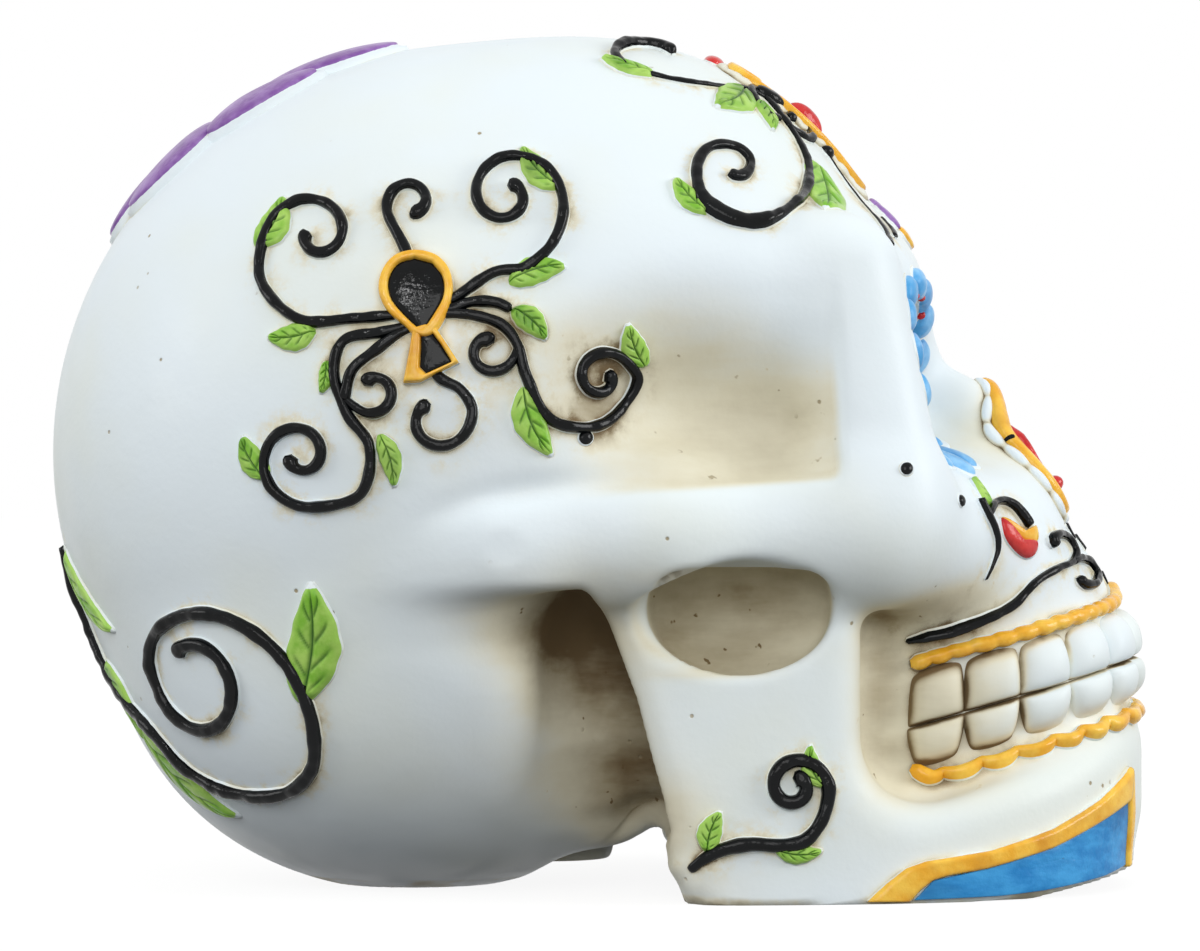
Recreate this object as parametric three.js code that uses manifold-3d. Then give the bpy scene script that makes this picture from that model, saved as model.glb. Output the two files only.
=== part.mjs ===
// A sugar skull: a hollow cast skull whose scrolls, leaves, teeth and petals stand up from its skin.
// Millimetres, +Z up. The face looks along +X, the right side along -Y, and the origin is on the floor.
import * as THREE from 'three';
import { mergeVertices } from 'three/addons/utils/BufferGeometryUtils.js';
import Module from 'manifold-3d';

const wasm = await Module();
wasm.setup();

// Driving dimensions of the cast skull.
const skullLength = 152;
const skullWidth = 97;
const skullHeight = 117;
const wallThickness = 7;
const skullSize = [skullLength, skullWidth, skullHeight];

// The pour hole in the base and its stopper.
const pourHoleDiameter = 14;
const stopperGap = 0.3;
const stopperLength = 11;
const stopperSlotWidth = 1.5;
const stopperSlotDepth = 1;

// Raised work: how far each piece stands off the skin, and how wide it is.
const seatGap = 0.3;
const cutGap = 0.2;
const scrollWidth = 1.7;
const scrollHeight = 1.3;
const scrollRise = 3;
const hubHeight = 0.8;
const hubRun = 5.6;
const leafHeight = 1.1;
const leafStep = 2.6;
const keyholeThickness = 1.1;
const keyholeRimWidth = 1.4;
const keyholeInsetThickness = 0.6;
const chinBorderWidth = 2.4;
const chinBorderHeight = 1.4;
const chinPanelHeight = 0.9;
const pipingWidth = 1.9;
const pipingHeight = 1.5;
const pipingWave = 0.5;
const toothBulge = 2.4;
const toothValley = 1.1;
const petalLength = 3.8;
const petalHeight = 1.8;
const petalValley = 1.3;
const noseFrameWidth = 2.2;
const noseFrameHeight = 1.8;
const heartHeight = 1.6;
const heartRimWidth = 2;
const heartRimHeight = 2;
const flowerHeight = 1.4;
const flowerValley = 0.8;
const dropHeight = 1.2;

// The teeth and the piping: levels at the front and the teeth's heights, as shares of the skull's height.
const upperToothShares = { level: 0.301, tall: 0.055 };
const lowerToothShares = { level: 0.2445, tall: 0.046 };
const upperPipingShare = 0.3435;
const lowerPipingShare = 0.207;

// The spans of the ornaments' drawings, as shares of the skull's length, and the skull's proportions that
// they are drawn at. Where the skull has others, each drawing stretches with it.
const templeSpanShare = 0.342;
const foreheadSpanShare = 0.263;
const napeSpanShare = 0.329;
const jawSpanShare = 0.158;
const cheekSpanShare = 0.158;
const chinSpanShare = 0.289;
const eyeSpanShare = 0.165;
const noseSpanShare = 0.125;
const heartSpanShare = 0.164;
const crownFlowerSpanShare = 0.308;
const crownFlowerWidthShare = 0.6;
const browFlowerSpanShare = 0.059;
const drawnProportionShares = [1, 0.638, 0.77];
const stretch = new THREE.Vector3(...skullSize)
  .divide(new THREE.Vector3(...drawnProportionShares).multiplyScalar(skullLength));

// Counts and steps.
const skinSplitCount = 11;
const skinEvenings = 24;
const coreSides = 16;
const holeSides = 24;
const teethPerRow = 12;
const stepsPerTooth = 2;
const petalsPerEye = 14;
const stepsPerPetal = 3;
const wavesPerPiping = 18;
const stepsPerWave = 2;
const longestStep = 7;
const shortStep = 2.6;
const samplesPerStep = 16;
const placesPerTurn = 9;
const hubSides = 16;
const eyeRingCorners = 12;
const archSamples = 60;
const archBearing = 86;
const sharpestTurn = 54;

// How the skin is measured and found.
const probeStep = skullLength / 3000;
const findTolerance = skullLength / 20000;
const strideShare = 0.7;
const castTurns = 200;
const settleTurns = 3;
const leastSlope = 0.25;
const largestMove = skullLength / 40;
const overrun = skullLength / 10;

// The bones, listed in the order in which they are joined or cut. Places and reaches are shares of the
// skull's length, width and height, and roundings, thicknesses and blends are shares of its length.
const boneShares = [
  { name: 'braincase', at: [-0.112, 0, 0.513], reach: [0.388, 0.5, 0.487] },
  { name: 'forehead', at: [0.013, 0, 0.59], reach: [0.27, 0.443, 0.41], soft: 0.053 },
  { name: 'occiput', at: [-0.184, 0, 0.244], reach: [0.234, 0.402, 0.247], soft: 0.066 },
  {
    name: 'temple hollow', cut: true, at: [0.132, 0.639, 0.581], reach: [0.164, 0.289, 0.154], lean: 8,
    soft: 0.059,
  },
  {
    name: 'gap behind jaw', cut: true, at: [0.02, 0.515, 0.188], reach: [0.072, 0.247, 0.222],
    lean: -10, soft: 0.059,
  },
  {
    name: 'brow', plan: { middle: 0.066, long: 0.224, wide: 0.392, power: 3.2 },
    rise: [0.615, 0.769], edge: 0.053, soft: 0.066,
  },
  {
    name: 'outer eye pillar', from: [0.217, 0.33, 0.718], to: [0.243, 0.361, 0.496],
    thick: [0.046, 0.056], thin: 0.8, soft: 0.039,
  },
  { name: 'nose bridge', from: [0.23, 0, 0.684], to: [0.296, 0, 0.582], thick: [0.034, 0.033], soft: 0.039 },
  {
    name: 'nose side', from: [0.334, 0.015, 0.566], to: [0.373, 0.06, 0.453], thick: [0.028, 0.033],
    soft: 0.026,
  },
  {
    name: 'cheekbone', from: [0.283, 0.263, 0.419], to: [0.237, 0.356, 0.423], thick: [0.062, 0.057],
    soft: 0.046,
  },
  {
    name: 'front of cheek arch', from: [0.237, 0.366, 0.419], to: [0.053, 0.418, 0.415],
    thick: [0.054, 0.049], thin: 0.8, soft: 0.046,
  },
  {
    name: 'middle of cheek arch', from: [0.053, 0.418, 0.415], to: [-0.079, 0.438, 0.397],
    thick: [0.049, 0.036], thin: 0.9, soft: 0.046,
  },
  {
    name: 'rear of cheek arch', from: [-0.079, 0.438, 0.397], to: [-0.217, 0.371, 0.355],
    thick: [0.036, 0.02], thin: 0.9, soft: 0.046,
  },
  { name: 'skull base', at: [0.066, 0, 0.239], reach: [0.263, 0.32, 0.188], soft: 0.039 },
  {
    name: 'lower jaw', plan: { middle: 0.053, long: 0.438, wide: 0.412, power: 2.4 },
    rise: [-0.03, 0.402], edge: 0.02, soft: 0.02,
    faces: [{ at: [0.033, 0.179], normal: [-1, -0.317], round: 0.033 }],
    notch: {
      faces: [{ at: [0.23, 0.239], normal: [-1, 0] }, { at: [0.276, 0.103], normal: [0.3, -1] }],
      round: 0.079, soft: 0.033,
    },
  },
  {
    name: 'hollow in the jaw', cut: true, at: [0.122, 0.438, 0.325], reach: [0.089, 0.088, 0.064],
    soft: 0.013,
  },
  {
    name: 'tooth arch', plan: { middle: 0.263, long: 0.224, wide: 0.263, power: 2.4 },
    rise: [0.068, 0.53], edge: 0.026, soft: 0.039,
    faces: [
      { at: [0.467, 0.376], normal: [1, 1], round: 0.053 },
      { at: [0.382, 0.427, 0.206], normal: [0.62, 0.48, 0.62], round: 0.053 },
    ],
  },
  {
    name: 'cheek root', from: [0.289, 0.227, 0.393], to: [0.342, 0.124, 0.393], thick: [0.053, 0.066],
    soft: 0.053,
  },
  { name: 'eye socket', cut: true, at: [0.368, 0.191, 0.594], reach: [0.145, 0.129, 0.098], soft: 0.026 },
  {
    name: 'nose opening', cut: true, at: [0.421, 0, 0.509], reach: [0.079, 0.057, 0.068], lean: -18,
    soft: 0.013,
  },
  {
    name: 'hollow under the jaw', cut: true, at: [0.132, 0, -0.017], reach: [0.184, 0.258, 0.154],
    soft: 0.026,
  },
];
const heartShare = [0.053, 0, 0.427];
const chinLiftShare = 0.382;
const chinSlope = 0.17;

// Scales shares of the three sizes to a place.
const scaled = (shares) => shares.map((share, axis) => share * skullSize[axis]);

// Smooth union of two distances that blends over a width.
function join(a, b, soft) {
  if (soft === 0) return Math.min(a, b);
  const near = Math.max(soft - Math.abs(a - b), 0) / soft;
  return Math.min(a, b) - near * near * soft / 4;
}

// Intersection of two distances with an edge rounded by a radius.
function meet(a, b, round) {
  const [u, v] = [Math.max(a + round, 0), Math.max(b + round, 0)];
  return Math.min(Math.max(a, b), -round) + Math.sqrt(u * u + v * v);
}

// Distance to a plane that is given in the side view, or in space when its place has a third share.
function faceMeasure({ at, normal }) {
  const [x, z, y = 0] = [at[0] * skullLength, at[1] * skullHeight, (at[2] ?? 0) * skullWidth];
  const size = Math.hypot(...normal);
  const [nx, nz, ny = 0] = normal.map((part) => part / size);
  return (px, py, pz) => (px - x) * nx + (pz - z) * nz + (py - y) * ny;
}

// Distance to an ellipsoid, leaning in the side view.
function ovalMeasure({ at, reach, lean = 0 }) {
  const [ax, ay, az] = scaled(at);
  const [rx, ry, rz] = scaled(reach);
  const [c, s] = [Math.cos(THREE.MathUtils.degToRad(lean)), Math.sin(THREE.MathUtils.degToRad(lean))];
  return (px, py, pz) => {
    const x = ((px - ax) * c + (pz - az) * s) / rx;
    const y = (py - ay) / ry;
    const z = ((pz - az) * c - (px - ax) * s) / rz;
    const near = x * x + y * y + z * z;
    const steep = (x / rx) ** 2 + (y / ry) ** 2 + (z / rz) ** 2;
    return (near - Math.sqrt(near)) / Math.max(Math.sqrt(steep), Number.EPSILON);
  };
}

// Distance to a tapered limb with round ends, made thinner sideways by one factor.
function limbMeasure({ from, to, thick, thin = 1 }) {
  const start = new THREE.Vector3(...scaled(from));
  const end = new THREE.Vector3(...scaled(to));
  start.y /= thin;
  end.y /= thin;
  const run = end.clone().sub(start);
  const [first, last] = thick.map((share) => share * skullLength);
  const reach = run.lengthSq();
  return (px, py, pz) => {
    const x = px - start.x;
    const y = py / thin - start.y;
    const z = pz - start.z;
    const along = Math.min(Math.max((x * run.x + y * run.y + z * run.z) / reach, 0), 1);
    const away = (x - along * run.x) ** 2 + (y - along * run.y) ** 2 + (z - along * run.z) ** 2;
    return (Math.sqrt(away) - first - along * (last - first)) * thin;
  };
}

// Distance to an upright block with an oval plan, whose edges are rounded and whose faces are planed off.
function blockMeasure({ plan, rise, edge, faces = [], notch }) {
  const [middle, long, wide] = [plan.middle * skullLength, plan.long * skullLength, plan.wide * skullWidth];
  const [low, high] = rise.map((share) => share * skullHeight);
  const planes = faces.map((face) => [faceMeasure(face), face.round * skullLength]);
  const cuts = (notch?.faces ?? []).map(faceMeasure);
  return (px, py, pz) => {
    const dx = px - middle;
    const power = Math.abs(dx / long) ** plan.power + Math.abs(py / wide) ** plan.power;
    const reach = Math.max(power ** (1 / plan.power), Number.EPSILON);
    let depth = Math.sqrt(dx * dx + py * py) * (1 - 1 / reach);
    for (const [measure, round] of planes) depth = meet(depth, measure(px, py, pz), round);
    depth = meet(depth, Math.max(low - pz, pz - high), edge * skullLength);
    if (!notch) return depth;
    const room = meet(cuts[0](px, py, pz), cuts[1](px, py, pz), notch.round * skullLength);
    return -join(-depth, room, notch.soft * skullLength);
  };
}

const bones = boneShares.map((bone) => {
  const measureOf = bone.reach ? ovalMeasure : bone.thick ? limbMeasure : blockMeasure;
  return { cut: bone.cut, soft: (bone.soft ?? 0) * skullLength, measure: measureOf(bone) };
});

// Distance from a place to the skin of the skull, negative inside. The two sides are alike.
function skin({ x, y, z }) {
  const side = Math.abs(y);
  let depth = Infinity;
  for (const { cut, soft, measure } of bones) {
    const own = measure(x, side, z);
    depth = cut ? -join(-depth, own, soft) : join(depth, own, soft);
  }
  return Math.max(depth, chinSlope * (x - chinLiftShare * skullLength) - z);
}

// How the distance from the skin rises at a place: it points the way in which the skin faces.
function slopeAt(place) {
  const here = skin(place);
  const rise = ['x', 'y', 'z'].map((axis) => {
    const probe = place.clone();
    probe[axis] += probeStep;
    return (skin(probe) - here) / probeStep;
  });
  return new THREE.Vector3(...rise);
}

const facing = (place) => slopeAt(place).normalize();

// The first place of the skin on the way in along a direction that points out from an origin.
function cast(origin, out) {
  let travel = skullLength;
  for (let turn = 0; turn < castTurns; turn += 1) {
    const depth = skin(origin.clone().addScaledVector(out, travel));
    if (depth < findTolerance) break;
    travel -= depth * strideShare;
  }
  return origin.clone().addScaledVector(out, travel);
}

// Moves a place straight off the skin until it stands at a level above it.
function settle(place, level) {
  const settled = place.clone();
  for (let turn = 0; turn < settleTurns; turn += 1) {
    const slope = slopeAt(settled);
    const move = (level - skin(settled)) / Math.max(slope.lengthSq(), leastSlope);
    settled.addScaledVector(slope, THREE.MathUtils.clamp(move, -largestMove, largestMove));
  }
  return settled;
}

// Closed body through rings of places. A ring of one place is a pole; a loop's last ring meets its first.
function loft(rings, loop = false) {
  const places = rings.flat();
  const starts = rings.map((ring, index) => rings.slice(0, index).reduce((sum, r) => sum + r.length, 0));
  const faces = [];
  for (let r = 0; r < rings.length - (loop ? 0 : 1); r += 1) {
    const next = (r + 1) % rings.length;
    const sides = Math.max(rings[r].length, rings[next].length);
    for (let s = 0; s < sides; s += 1) {
      const [a, b] = [s, s + 1].map((k) => starts[r] + k % rings[r].length);
      const [c, d] = [s, s + 1].map((k) => starts[next] + k % rings[next].length);
      if (a !== b) faces.push([a, b, c]);
      if (c !== d) faces.push([b, d, c]);
    }
  }
  const volume = faces.reduce((sum, [a, b, c]) => (
    sum + places[a].dot(places[b].clone().cross(places[c]))), 0);
  if (volume < 0) faces.forEach((face) => face.reverse());
  const geometry = new THREE.BufferGeometry();
  geometry.setAttribute('position', new THREE.Float32BufferAttribute(places.flatMap((p) => p.toArray()), 3));
  geometry.setIndex(faces.flat());
  return geometry;
}

// A solid that can be cut and joined, from a closed geometry.
function solid(geometry) {
  const bare = geometry.clone();
  bare.deleteAttribute('normal');
  bare.deleteAttribute('uv');
  const merged = mergeVertices(bare);
  return new wasm.Manifold(new wasm.Mesh({
    numProp: 3,
    vertProperties: new Float32Array(merged.attributes.position.array),
    triVerts: new Uint32Array(merged.index.array),
  }));
}

// The geometry of a solid.
function geometryOf(body) {
  const mesh = body.getMesh();
  const geometry = new THREE.BufferGeometry();
  geometry.setAttribute('position', new THREE.Float32BufferAttribute(mesh.vertProperties, 3));
  geometry.setIndex(new THREE.Uint32BufferAttribute(mesh.triVerts, 1));
  return geometry;
}

// The largest of the pieces that a solid falls into.
function largest(body) {
  const pieces = body.decompose();
  return pieces.reduce((best, piece) => (piece.volume() > best.volume() ? piece : best));
}

// The other side's copy of a geometry.
function mirrored(geometry) {
  const copy = geometry.clone();
  copy.scale(1, -1, 1);
  const index = copy.index.array;
  for (let k = 0; k < index.length; k += 3) [index[k], index[k + 1]] = [index[k + 1], index[k]];
  return copy;
}

// Directions are given by a bearing, from the face towards the right side, and by a rise, in degrees.
function direction([bearing, rise]) {
  const [b, r] = [THREE.MathUtils.degToRad(bearing), THREE.MathUtils.degToRad(rise)];
  return new THREE.Vector3(Math.cos(b) * Math.cos(r), -Math.sin(b) * Math.cos(r), Math.sin(r));
}

// A sketch plane: drawings on it are in shares of its span and are cast onto the skin square to it.
class Sketch {
  constructor({ middleShare, faces, spanShare }) {
    this.middle = new THREE.Vector3(...scaled(middleShare));
    this.out = direction(faces);
    this.right = new THREE.Vector3(0, 0, 1).cross(this.out).normalize();
    this.up = this.out.clone().cross(this.right);
    this.out.multiply(stretch).normalize();
    this.span = spanShare * skullLength;
  }

  place([right, up]) {
    const offset = this.right.clone().multiplyScalar(right * this.span)
      .addScaledVector(this.up, up * this.span)
      .multiply(stretch);
    return cast(this.middle.clone().add(offset), this.out);
  }
}

// A band round the tooth arch: drawings on it are a bearing and a level, and it falls towards the rear.
class ArchBand {
  constructor({ middle, long, fall }) {
    Object.assign(this, { middle, front: middle + long, fall });
  }

  place([bearing, level]) {
    const out = direction([bearing, 0]);
    const reach = cast(new THREE.Vector3(this.middle, 0, level), out);
    return cast(new THREE.Vector3(this.middle, 0, level - this.fall * (this.front - reach.x)), out);
  }
}

// Adds to the drawn points of a stroke a curl that winds in about a middle.
function withCurl(points, curl) {
  if (!curl) return points;
  const [x, y] = points[points.length - 1];
  const [mx, my] = curl.middle;
  const reach = Math.hypot(x - mx, y - my);
  const start = Math.atan2(y - my, x - mx);
  const count = Math.ceil(Math.abs(curl.turns) * placesPerTurn);
  const wound = Array.from({ length: count }, (_, index) => {
    const share = (index + 1) / count;
    const angle = start + share * curl.turns * 2 * Math.PI;
    const radius = reach * curl.tight ** share;
    return [mx + radius * Math.cos(angle), my + radius * Math.sin(angle)];
  });
  return [...points, ...wound];
}

// Places on the skin along a smooth drawn line, closer together where it turns, and how far along each is.
function runAlong(sketch, drawn, { loop = false, step = longestStep } = {}) {
  const corners = drawn.map(([right, up]) => new THREE.Vector3(right * sketch.span, up * sketch.span, 0));
  const curve = new THREE.CatmullRomCurve3(corners, loop, 'centripetal');
  const length = curve.getLength();
  const samples = curve.getSpacedPoints(Math.ceil(length / step) * samplesPerStep);
  const heading = (k) => {
    const [a, b] = [samples[Math.max(k - 1, 0)], samples[Math.min(k + 1, samples.length - 1)]];
    return Math.atan2(b.y - a.y, b.x - a.x);
  };
  const chosen = [0];
  let turned = 0;
  samples.forEach((sample, k) => {
    if (k === 0) return;
    const change = heading(k) - heading(k - 1);
    turned += Math.abs(Math.atan2(Math.sin(change), Math.cos(change)));
    const far = (k - chosen[chosen.length - 1]) * length / samples.length > step;
    if (!far && turned < THREE.MathUtils.degToRad(sharpestTurn)) return;
    turned = 0;
    chosen.push(k);
  });
  const last = samples.length - 1;
  if (last - chosen[chosen.length - 1] < samples.length / chosen.length / 2) chosen.pop();
  if (!loop) chosen.push(last);
  return {
    places: chosen.map((k) => sketch.place([samples[k].x / sketch.span, samples[k].y / sketch.span])),
    along: chosen.map((k) => length * k / last),
    length,
    loop,
  };
}

// The section of a bead: how far across it each point is, and how high.
const beadSectionShares = [[-0.5, 0], [-0.3, 0.9], [0.3, 0.9], [0.5, 0]];
const toothSectionShares = [[-0.5, 0], [-0.47, 0.55], [0, 1], [0.47, 0.55], [0.5, 0]];

// Lays a bead on the skin along a run. Its width and height are asked for at distances along it.
function bead({ places, along, length, loop }, widthAt, heightAt, options = {}) {
  const { grow = 0, base = seatGap, section = beadSectionShares } = options;
  const last = places.length - 1;
  const rings = places.map((place, index) => {
    const before = places[loop ? (index + last) % (last + 1) : Math.max(index - 1, 0)];
    const after = places[loop ? (index + 1) % (last + 1) : Math.min(index + 1, last)];
    const across = facing(place).cross(after.clone().sub(before)).normalize();
    const width = widthAt(along[index], length) + 2 * grow;
    const height = heightAt(along[index], length) + 2 * grow;
    return section.map(([sideways, up]) => (
      settle(place.clone().addScaledVector(across, sideways * width), base - grow + height * up)));
  });
  if (loop) return loft(rings, true);
  const foot = (place) => [settle(place, base - grow)];
  return loft([foot(places[0]), ...rings, foot(places[last])]);
}

// Lays a plate on the skin inside an outline of places about a middle place.
function plate(middle, outline, heightAt, { base = seatGap, grow = 0, rings = [0.55, 1] } = {}) {
  const ringAt = (share, heights) => outline.map((place, index) => (
    settle(middle.clone().lerp(place, share), base - grow + heights(share, index / outline.length))));
  const full = (share, round) => heightAt(share, round) + 2 * grow;
  const tops = rings.map((share) => ringAt(share, full));
  const bottoms = [...rings].reverse().map((share) => ringAt(share, () => 0));
  const pole = (level) => [settle(middle, level)];
  return loft([pole(base - grow + full(0, 0)), ...tops, ...bottoms, pole(base - grow)]);
}

const ovalShares = (middle, reach, count) => Array.from({ length: count }, (_, index) => {
  const angle = 2 * Math.PI * index / count;
  return [middle[0] + reach[0] * Math.cos(angle), middle[1] + reach[1] * Math.sin(angle)];
});

// How a value rises from nothing to one between two distances.
const ramp = (value, from, to) => THREE.MathUtils.clamp((value - from) / (to - from), 0, 1);

// A stroke of a scroll: low and thin where it springs from its hub, full along its run.
function strokeSolid(sketch, { points, curl, low = 0, wide = 1 }, grow = 0) {
  const run = runAlong(sketch, withCurl(points, curl));
  return solid(bead(
    run,
    (along) => scrollWidth * wide * (0.75 + 0.25 * ramp(along, 0, scrollRise)),
    (along) => hubHeight + (scrollHeight - hubHeight) * ramp(along, low, low + scrollRise) - seatGap,
    { grow },
  ));
}

// A leaf from its foot to its tip: a bead that swells and narrows, with a ridge along it.
function leafGeometry(sketch, { foot, tip, wide = 0.4, bend = 0.08 }) {
  const [dx, dy] = [tip[0] - foot[0], tip[1] - foot[1]];
  const knee = [foot[0] + dx / 2 - dy * bend, foot[1] + dy / 2 + dx * bend];
  const width = Math.hypot(dx, dy) * sketch.span * wide;
  return bead(
    runAlong(sketch, [foot, knee, tip], { step: leafStep }),
    (along, length) => width * (0.16 + 0.84 * Math.sin(Math.PI * Math.min(along / length * 1.08, 1) ** 0.8)),
    (along, length) => (leafHeight - seatGap) * (0.45 + 0.55 * Math.sin(Math.PI * along / length)),
  );
}

// Joins the strokes of an ornament, with leaves that grow from it, into one solid.
function scrollwork(sketch, strokes, leaves = [], extra = []) {
  const bodies = [
    ...strokes.map((stroke) => strokeSolid(sketch, stroke)),
    ...leaves.map((shares) => solid(leafGeometry(sketch, shares))),
    ...extra,
  ];
  return largest(bodies.reduce((sum, body) => sum.add(body)));
}

// Surface finishes.
const finish = (color, roughness, metalness = 0) => ({ color, roughness, metalness });
const finishes = {
  bone: finish(0xe9e7df, 0.42),
  black: finish(0x101214, 0.28),
  green: finish(0x6db42c, 0.4),
  yellow: finish(0xf6a81c, 0.38),
  red: finish(0xd4181c, 0.36),
  blue: finish(0x2f8fd6, 0.4),
  paleBlue: finish(0x5fb4f0, 0.4),
  purple: finish(0x8e4f9f, 0.42),
  stopper: finish(0x2a2a2c, 0.8),
};

const skull = new THREE.Group();

function piece(name, geometry, material) {
  const mesh = new THREE.Mesh(geometry, new THREE.MeshStandardMaterial(finishes[material]));
  mesh.name = name;
  skull.add(mesh);
  return mesh;
}

function pair(name, geometry, material) {
  piece(`${name}_right`, geometry, material);
  piece(`${name}_left`, mirrored(geometry), material);
}

// The cast shell: rays from its heart find the skin, a smooth core leaves the wall, the floor planes it.
const heart = new THREE.Vector3(...scaled(heartShare));

// The skin as an even mesh: a ball's points are cast onto it, then evened out along it.
function skinGeometry() {
  const ball = new THREE.IcosahedronGeometry(1, skinSplitCount);
  ball.deleteAttribute('normal');
  ball.deleteAttribute('uv');
  const geometry = mergeVertices(ball);
  const { position } = geometry.attributes;
  const placeAt = (k) => new THREE.Vector3().fromBufferAttribute(position, k);
  const rays = Array.from({ length: position.count }, (_, k) => placeAt(k));
  const neighbours = rays.map(() => new Set());
  for (let k = 0; k < geometry.index.count; k += 3) {
    const [a, b, c] = geometry.index.array.slice(k, k + 3);
    neighbours[a].add(b);
    neighbours[b].add(c);
    neighbours[c].add(a);
  }
  let places = rays.map((ray) => cast(heart, ray.normalize()));
  for (let turn = 0; turn < skinEvenings; turn += 1) {
    places = places.map((place, k) => {
      const middle = new THREE.Vector3();
      neighbours[k].forEach((other) => middle.add(places[other]));
      return settle(middle.divideScalar(neighbours[k].size).lerp(place, 0.5), 0);
    });
  }
  places.forEach((place, k) => position.setXYZ(k, ...place));
  return geometry;
}

// A solid of the skin's mesh with its surface moved out.
function grownSkin(geometry, grow) {
  const grown = geometry.clone();
  const { position } = grown.attributes;
  for (let k = 0; k < position.count; k += 1) {
    position.setXYZ(k, ...settle(new THREE.Vector3().fromBufferAttribute(position, k), grow));
  }
  return solid(grown);
}

const braincase = boneShares[0];
const coreMiddle = new THREE.Vector3(...scaled(braincase.at));
const coreReach = scaled(braincase.reach).map((reach) => reach - wallThickness);
const baseLevel = scaled(boneShares.find(({ name }) => name === 'skull base').at)[2];
const holeMiddle = new THREE.Vector3(-pourHoleDiameter / 2, 0, 0);

const skinMesh = skinGeometry();
const skinRoom = grownSkin(skinMesh, cutGap);

// Clears a raised piece's underside of the skin's facets, which bridge the hollows that they cross.
const seated = (body) => geometryOf(largest(body.subtract(skinRoom)));

function shellBody() {
  const floor = new THREE.BoxGeometry(2 * skullLength, 2 * skullWidth, 2 * overrun)
    .translate(0, 0, -overrun);
  const core = new THREE.SphereGeometry(1, coreSides, coreSides / 2)
    .scale(...coreReach).translate(...coreMiddle);
  const hole = new THREE.CylinderGeometry(pourHoleDiameter / 2, pourHoleDiameter / 2, baseLevel, holeSides)
    .rotateX(Math.PI / 2).translate(holeMiddle.x, 0, baseLevel / 2);
  return solid(skinMesh).subtract(solid(floor)).subtract(solid(core)).subtract(solid(hole));
}

piece('skull_shell', geometryOf(largest(shellBody())), 'bone');

// The stopper fills the pour hole from below, with a shallow slot in its outer face.
function stopperBody() {
  const mouth = cast(new THREE.Vector3(holeMiddle.x, 0, baseLevel), new THREE.Vector3(0, 0, -1)).z;
  const radius = pourHoleDiameter / 2 - stopperGap;
  const shank = new THREE.CylinderGeometry(radius, radius, stopperLength, holeSides)
    .rotateX(Math.PI / 2).translate(holeMiddle.x, 0, mouth + stopperLength / 2);
  const slot = new THREE.BoxGeometry(2 * radius, stopperSlotWidth, 2 * stopperSlotDepth)
    .translate(holeMiddle.x, 0, mouth);
  return solid(shank).subtract(solid(slot));
}

piece('pour_hole_stopper', geometryOf(stopperBody()), 'stopper');

// The ornament on the temple: a keyhole on a hub from which ten strokes curl away, with ten leaves.
const temple = new Sketch({
  middleShare: [-0.159, -0.464, 0.692], faces: [90, 0], spanShare: templeSpanShare,
});
const templeStrokeShares = [
  {
    points: [[0, -0.06], [-0.14, -0.07], [-0.288, -0.071], [-0.39, 0.033], [-0.371, 0.174]],
    curl: { middle: [-0.247, 0.142], turns: -1.05, tight: 0.2 },
  },
  {
    points: [[0, 0.02], [-0.018, 0.098], [-0.068, 0.2]],
    curl: { middle: [-0.007, 0.226], turns: -0.85, tight: 0.4 },
  },
  {
    points: [
      [0.02, -0.05], [0.098, -0.023], [0.206, 0.046], [0.284, 0.059], [0.349, 0.118], [0.377, 0.191],
    ],
    curl: { middle: [0.234, 0.241], turns: 1.3, tight: 0.2 },
  },
  { points: [[0.02, -0.06], [0.101, -0.045], [0.148, -0.03], [0.214, -0.033], [0.25, -0.05]] },
  {
    points: [
      [0.02, -0.07], [0.101, -0.058], [0.222, -0.086], [0.262, -0.134], [0.285, -0.215], [0.35, -0.328],
      [0.478, -0.334], [0.562, -0.219],
    ],
    curl: { middle: [0.47, -0.221], turns: 1.15, tight: 0.22 },
  },
  {
    points: [[0.262, -0.134], [0.262, -0.15]],
    curl: { middle: [0.192, -0.152], turns: -0.85, tight: 0.35 },
  },
  {
    points: [
      [0.01, -0.08], [-0.07, -0.105], [-0.172, -0.126], [-0.197, -0.201], [-0.163, -0.31],
      [-0.107, -0.39], [-0.13, -0.511], [-0.26, -0.544],
    ],
    curl: { middle: [-0.28, -0.415], turns: -1.3, tight: 0.2 },
  },
  { points: [[0.01, -0.09], [-0.028, -0.106], [-0.091, -0.15], [-0.15, -0.2], [-0.172, -0.28]] },
  { points: [[-0.172, -0.27], [-0.14, -0.295]], curl: { middle: [-0.095, -0.255], turns: 0.8, tight: 0.5 } },
  {
    points: [[0.03, -0.16], [0.069, -0.22], [0.119, -0.248], [0.15, -0.295]],
    curl: { middle: [0.059, -0.323], turns: -0.75, tight: 0.4 },
  },
].map((stroke, index) => ({ ...stroke, low: [5, 8].includes(index) ? 0 : hubRun }));
const templeLeafShares = [
  { foot: [-0.405, 0.115], tip: [-0.335, 0.253], bend: -0.1 },
  { foot: [-0.245, -0.1], tip: [-0.373, -0.116], wide: 0.42 },
  { foot: [0.37, 0.262], tip: [0.266, 0.377], wide: 0.36 },
  { foot: [0.24, 0.015], tip: [0.385, 0.064], wide: 0.4 },
  { foot: [0.262, -0.055], tip: [0.33, -0.126], wide: 0.5 },
  { foot: [0.585, -0.19], tip: [0.54, -0.078], wide: 0.42 },
  { foot: [0.268, -0.24], tip: [0.345, -0.423], wide: 0.42, bend: -0.1 },
  { foot: [-0.085, -0.36], tip: [-0.041, -0.498], wide: 0.45 },
  { foot: [-0.365, -0.475], tip: [-0.433, -0.362], wide: 0.4 },
  { foot: [-0.215, -0.175], tip: [-0.232, -0.262], wide: 0.35 },
];
const hubShares = { middle: [0.012, -0.055], reach: [0.06, 0.13] };

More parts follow.
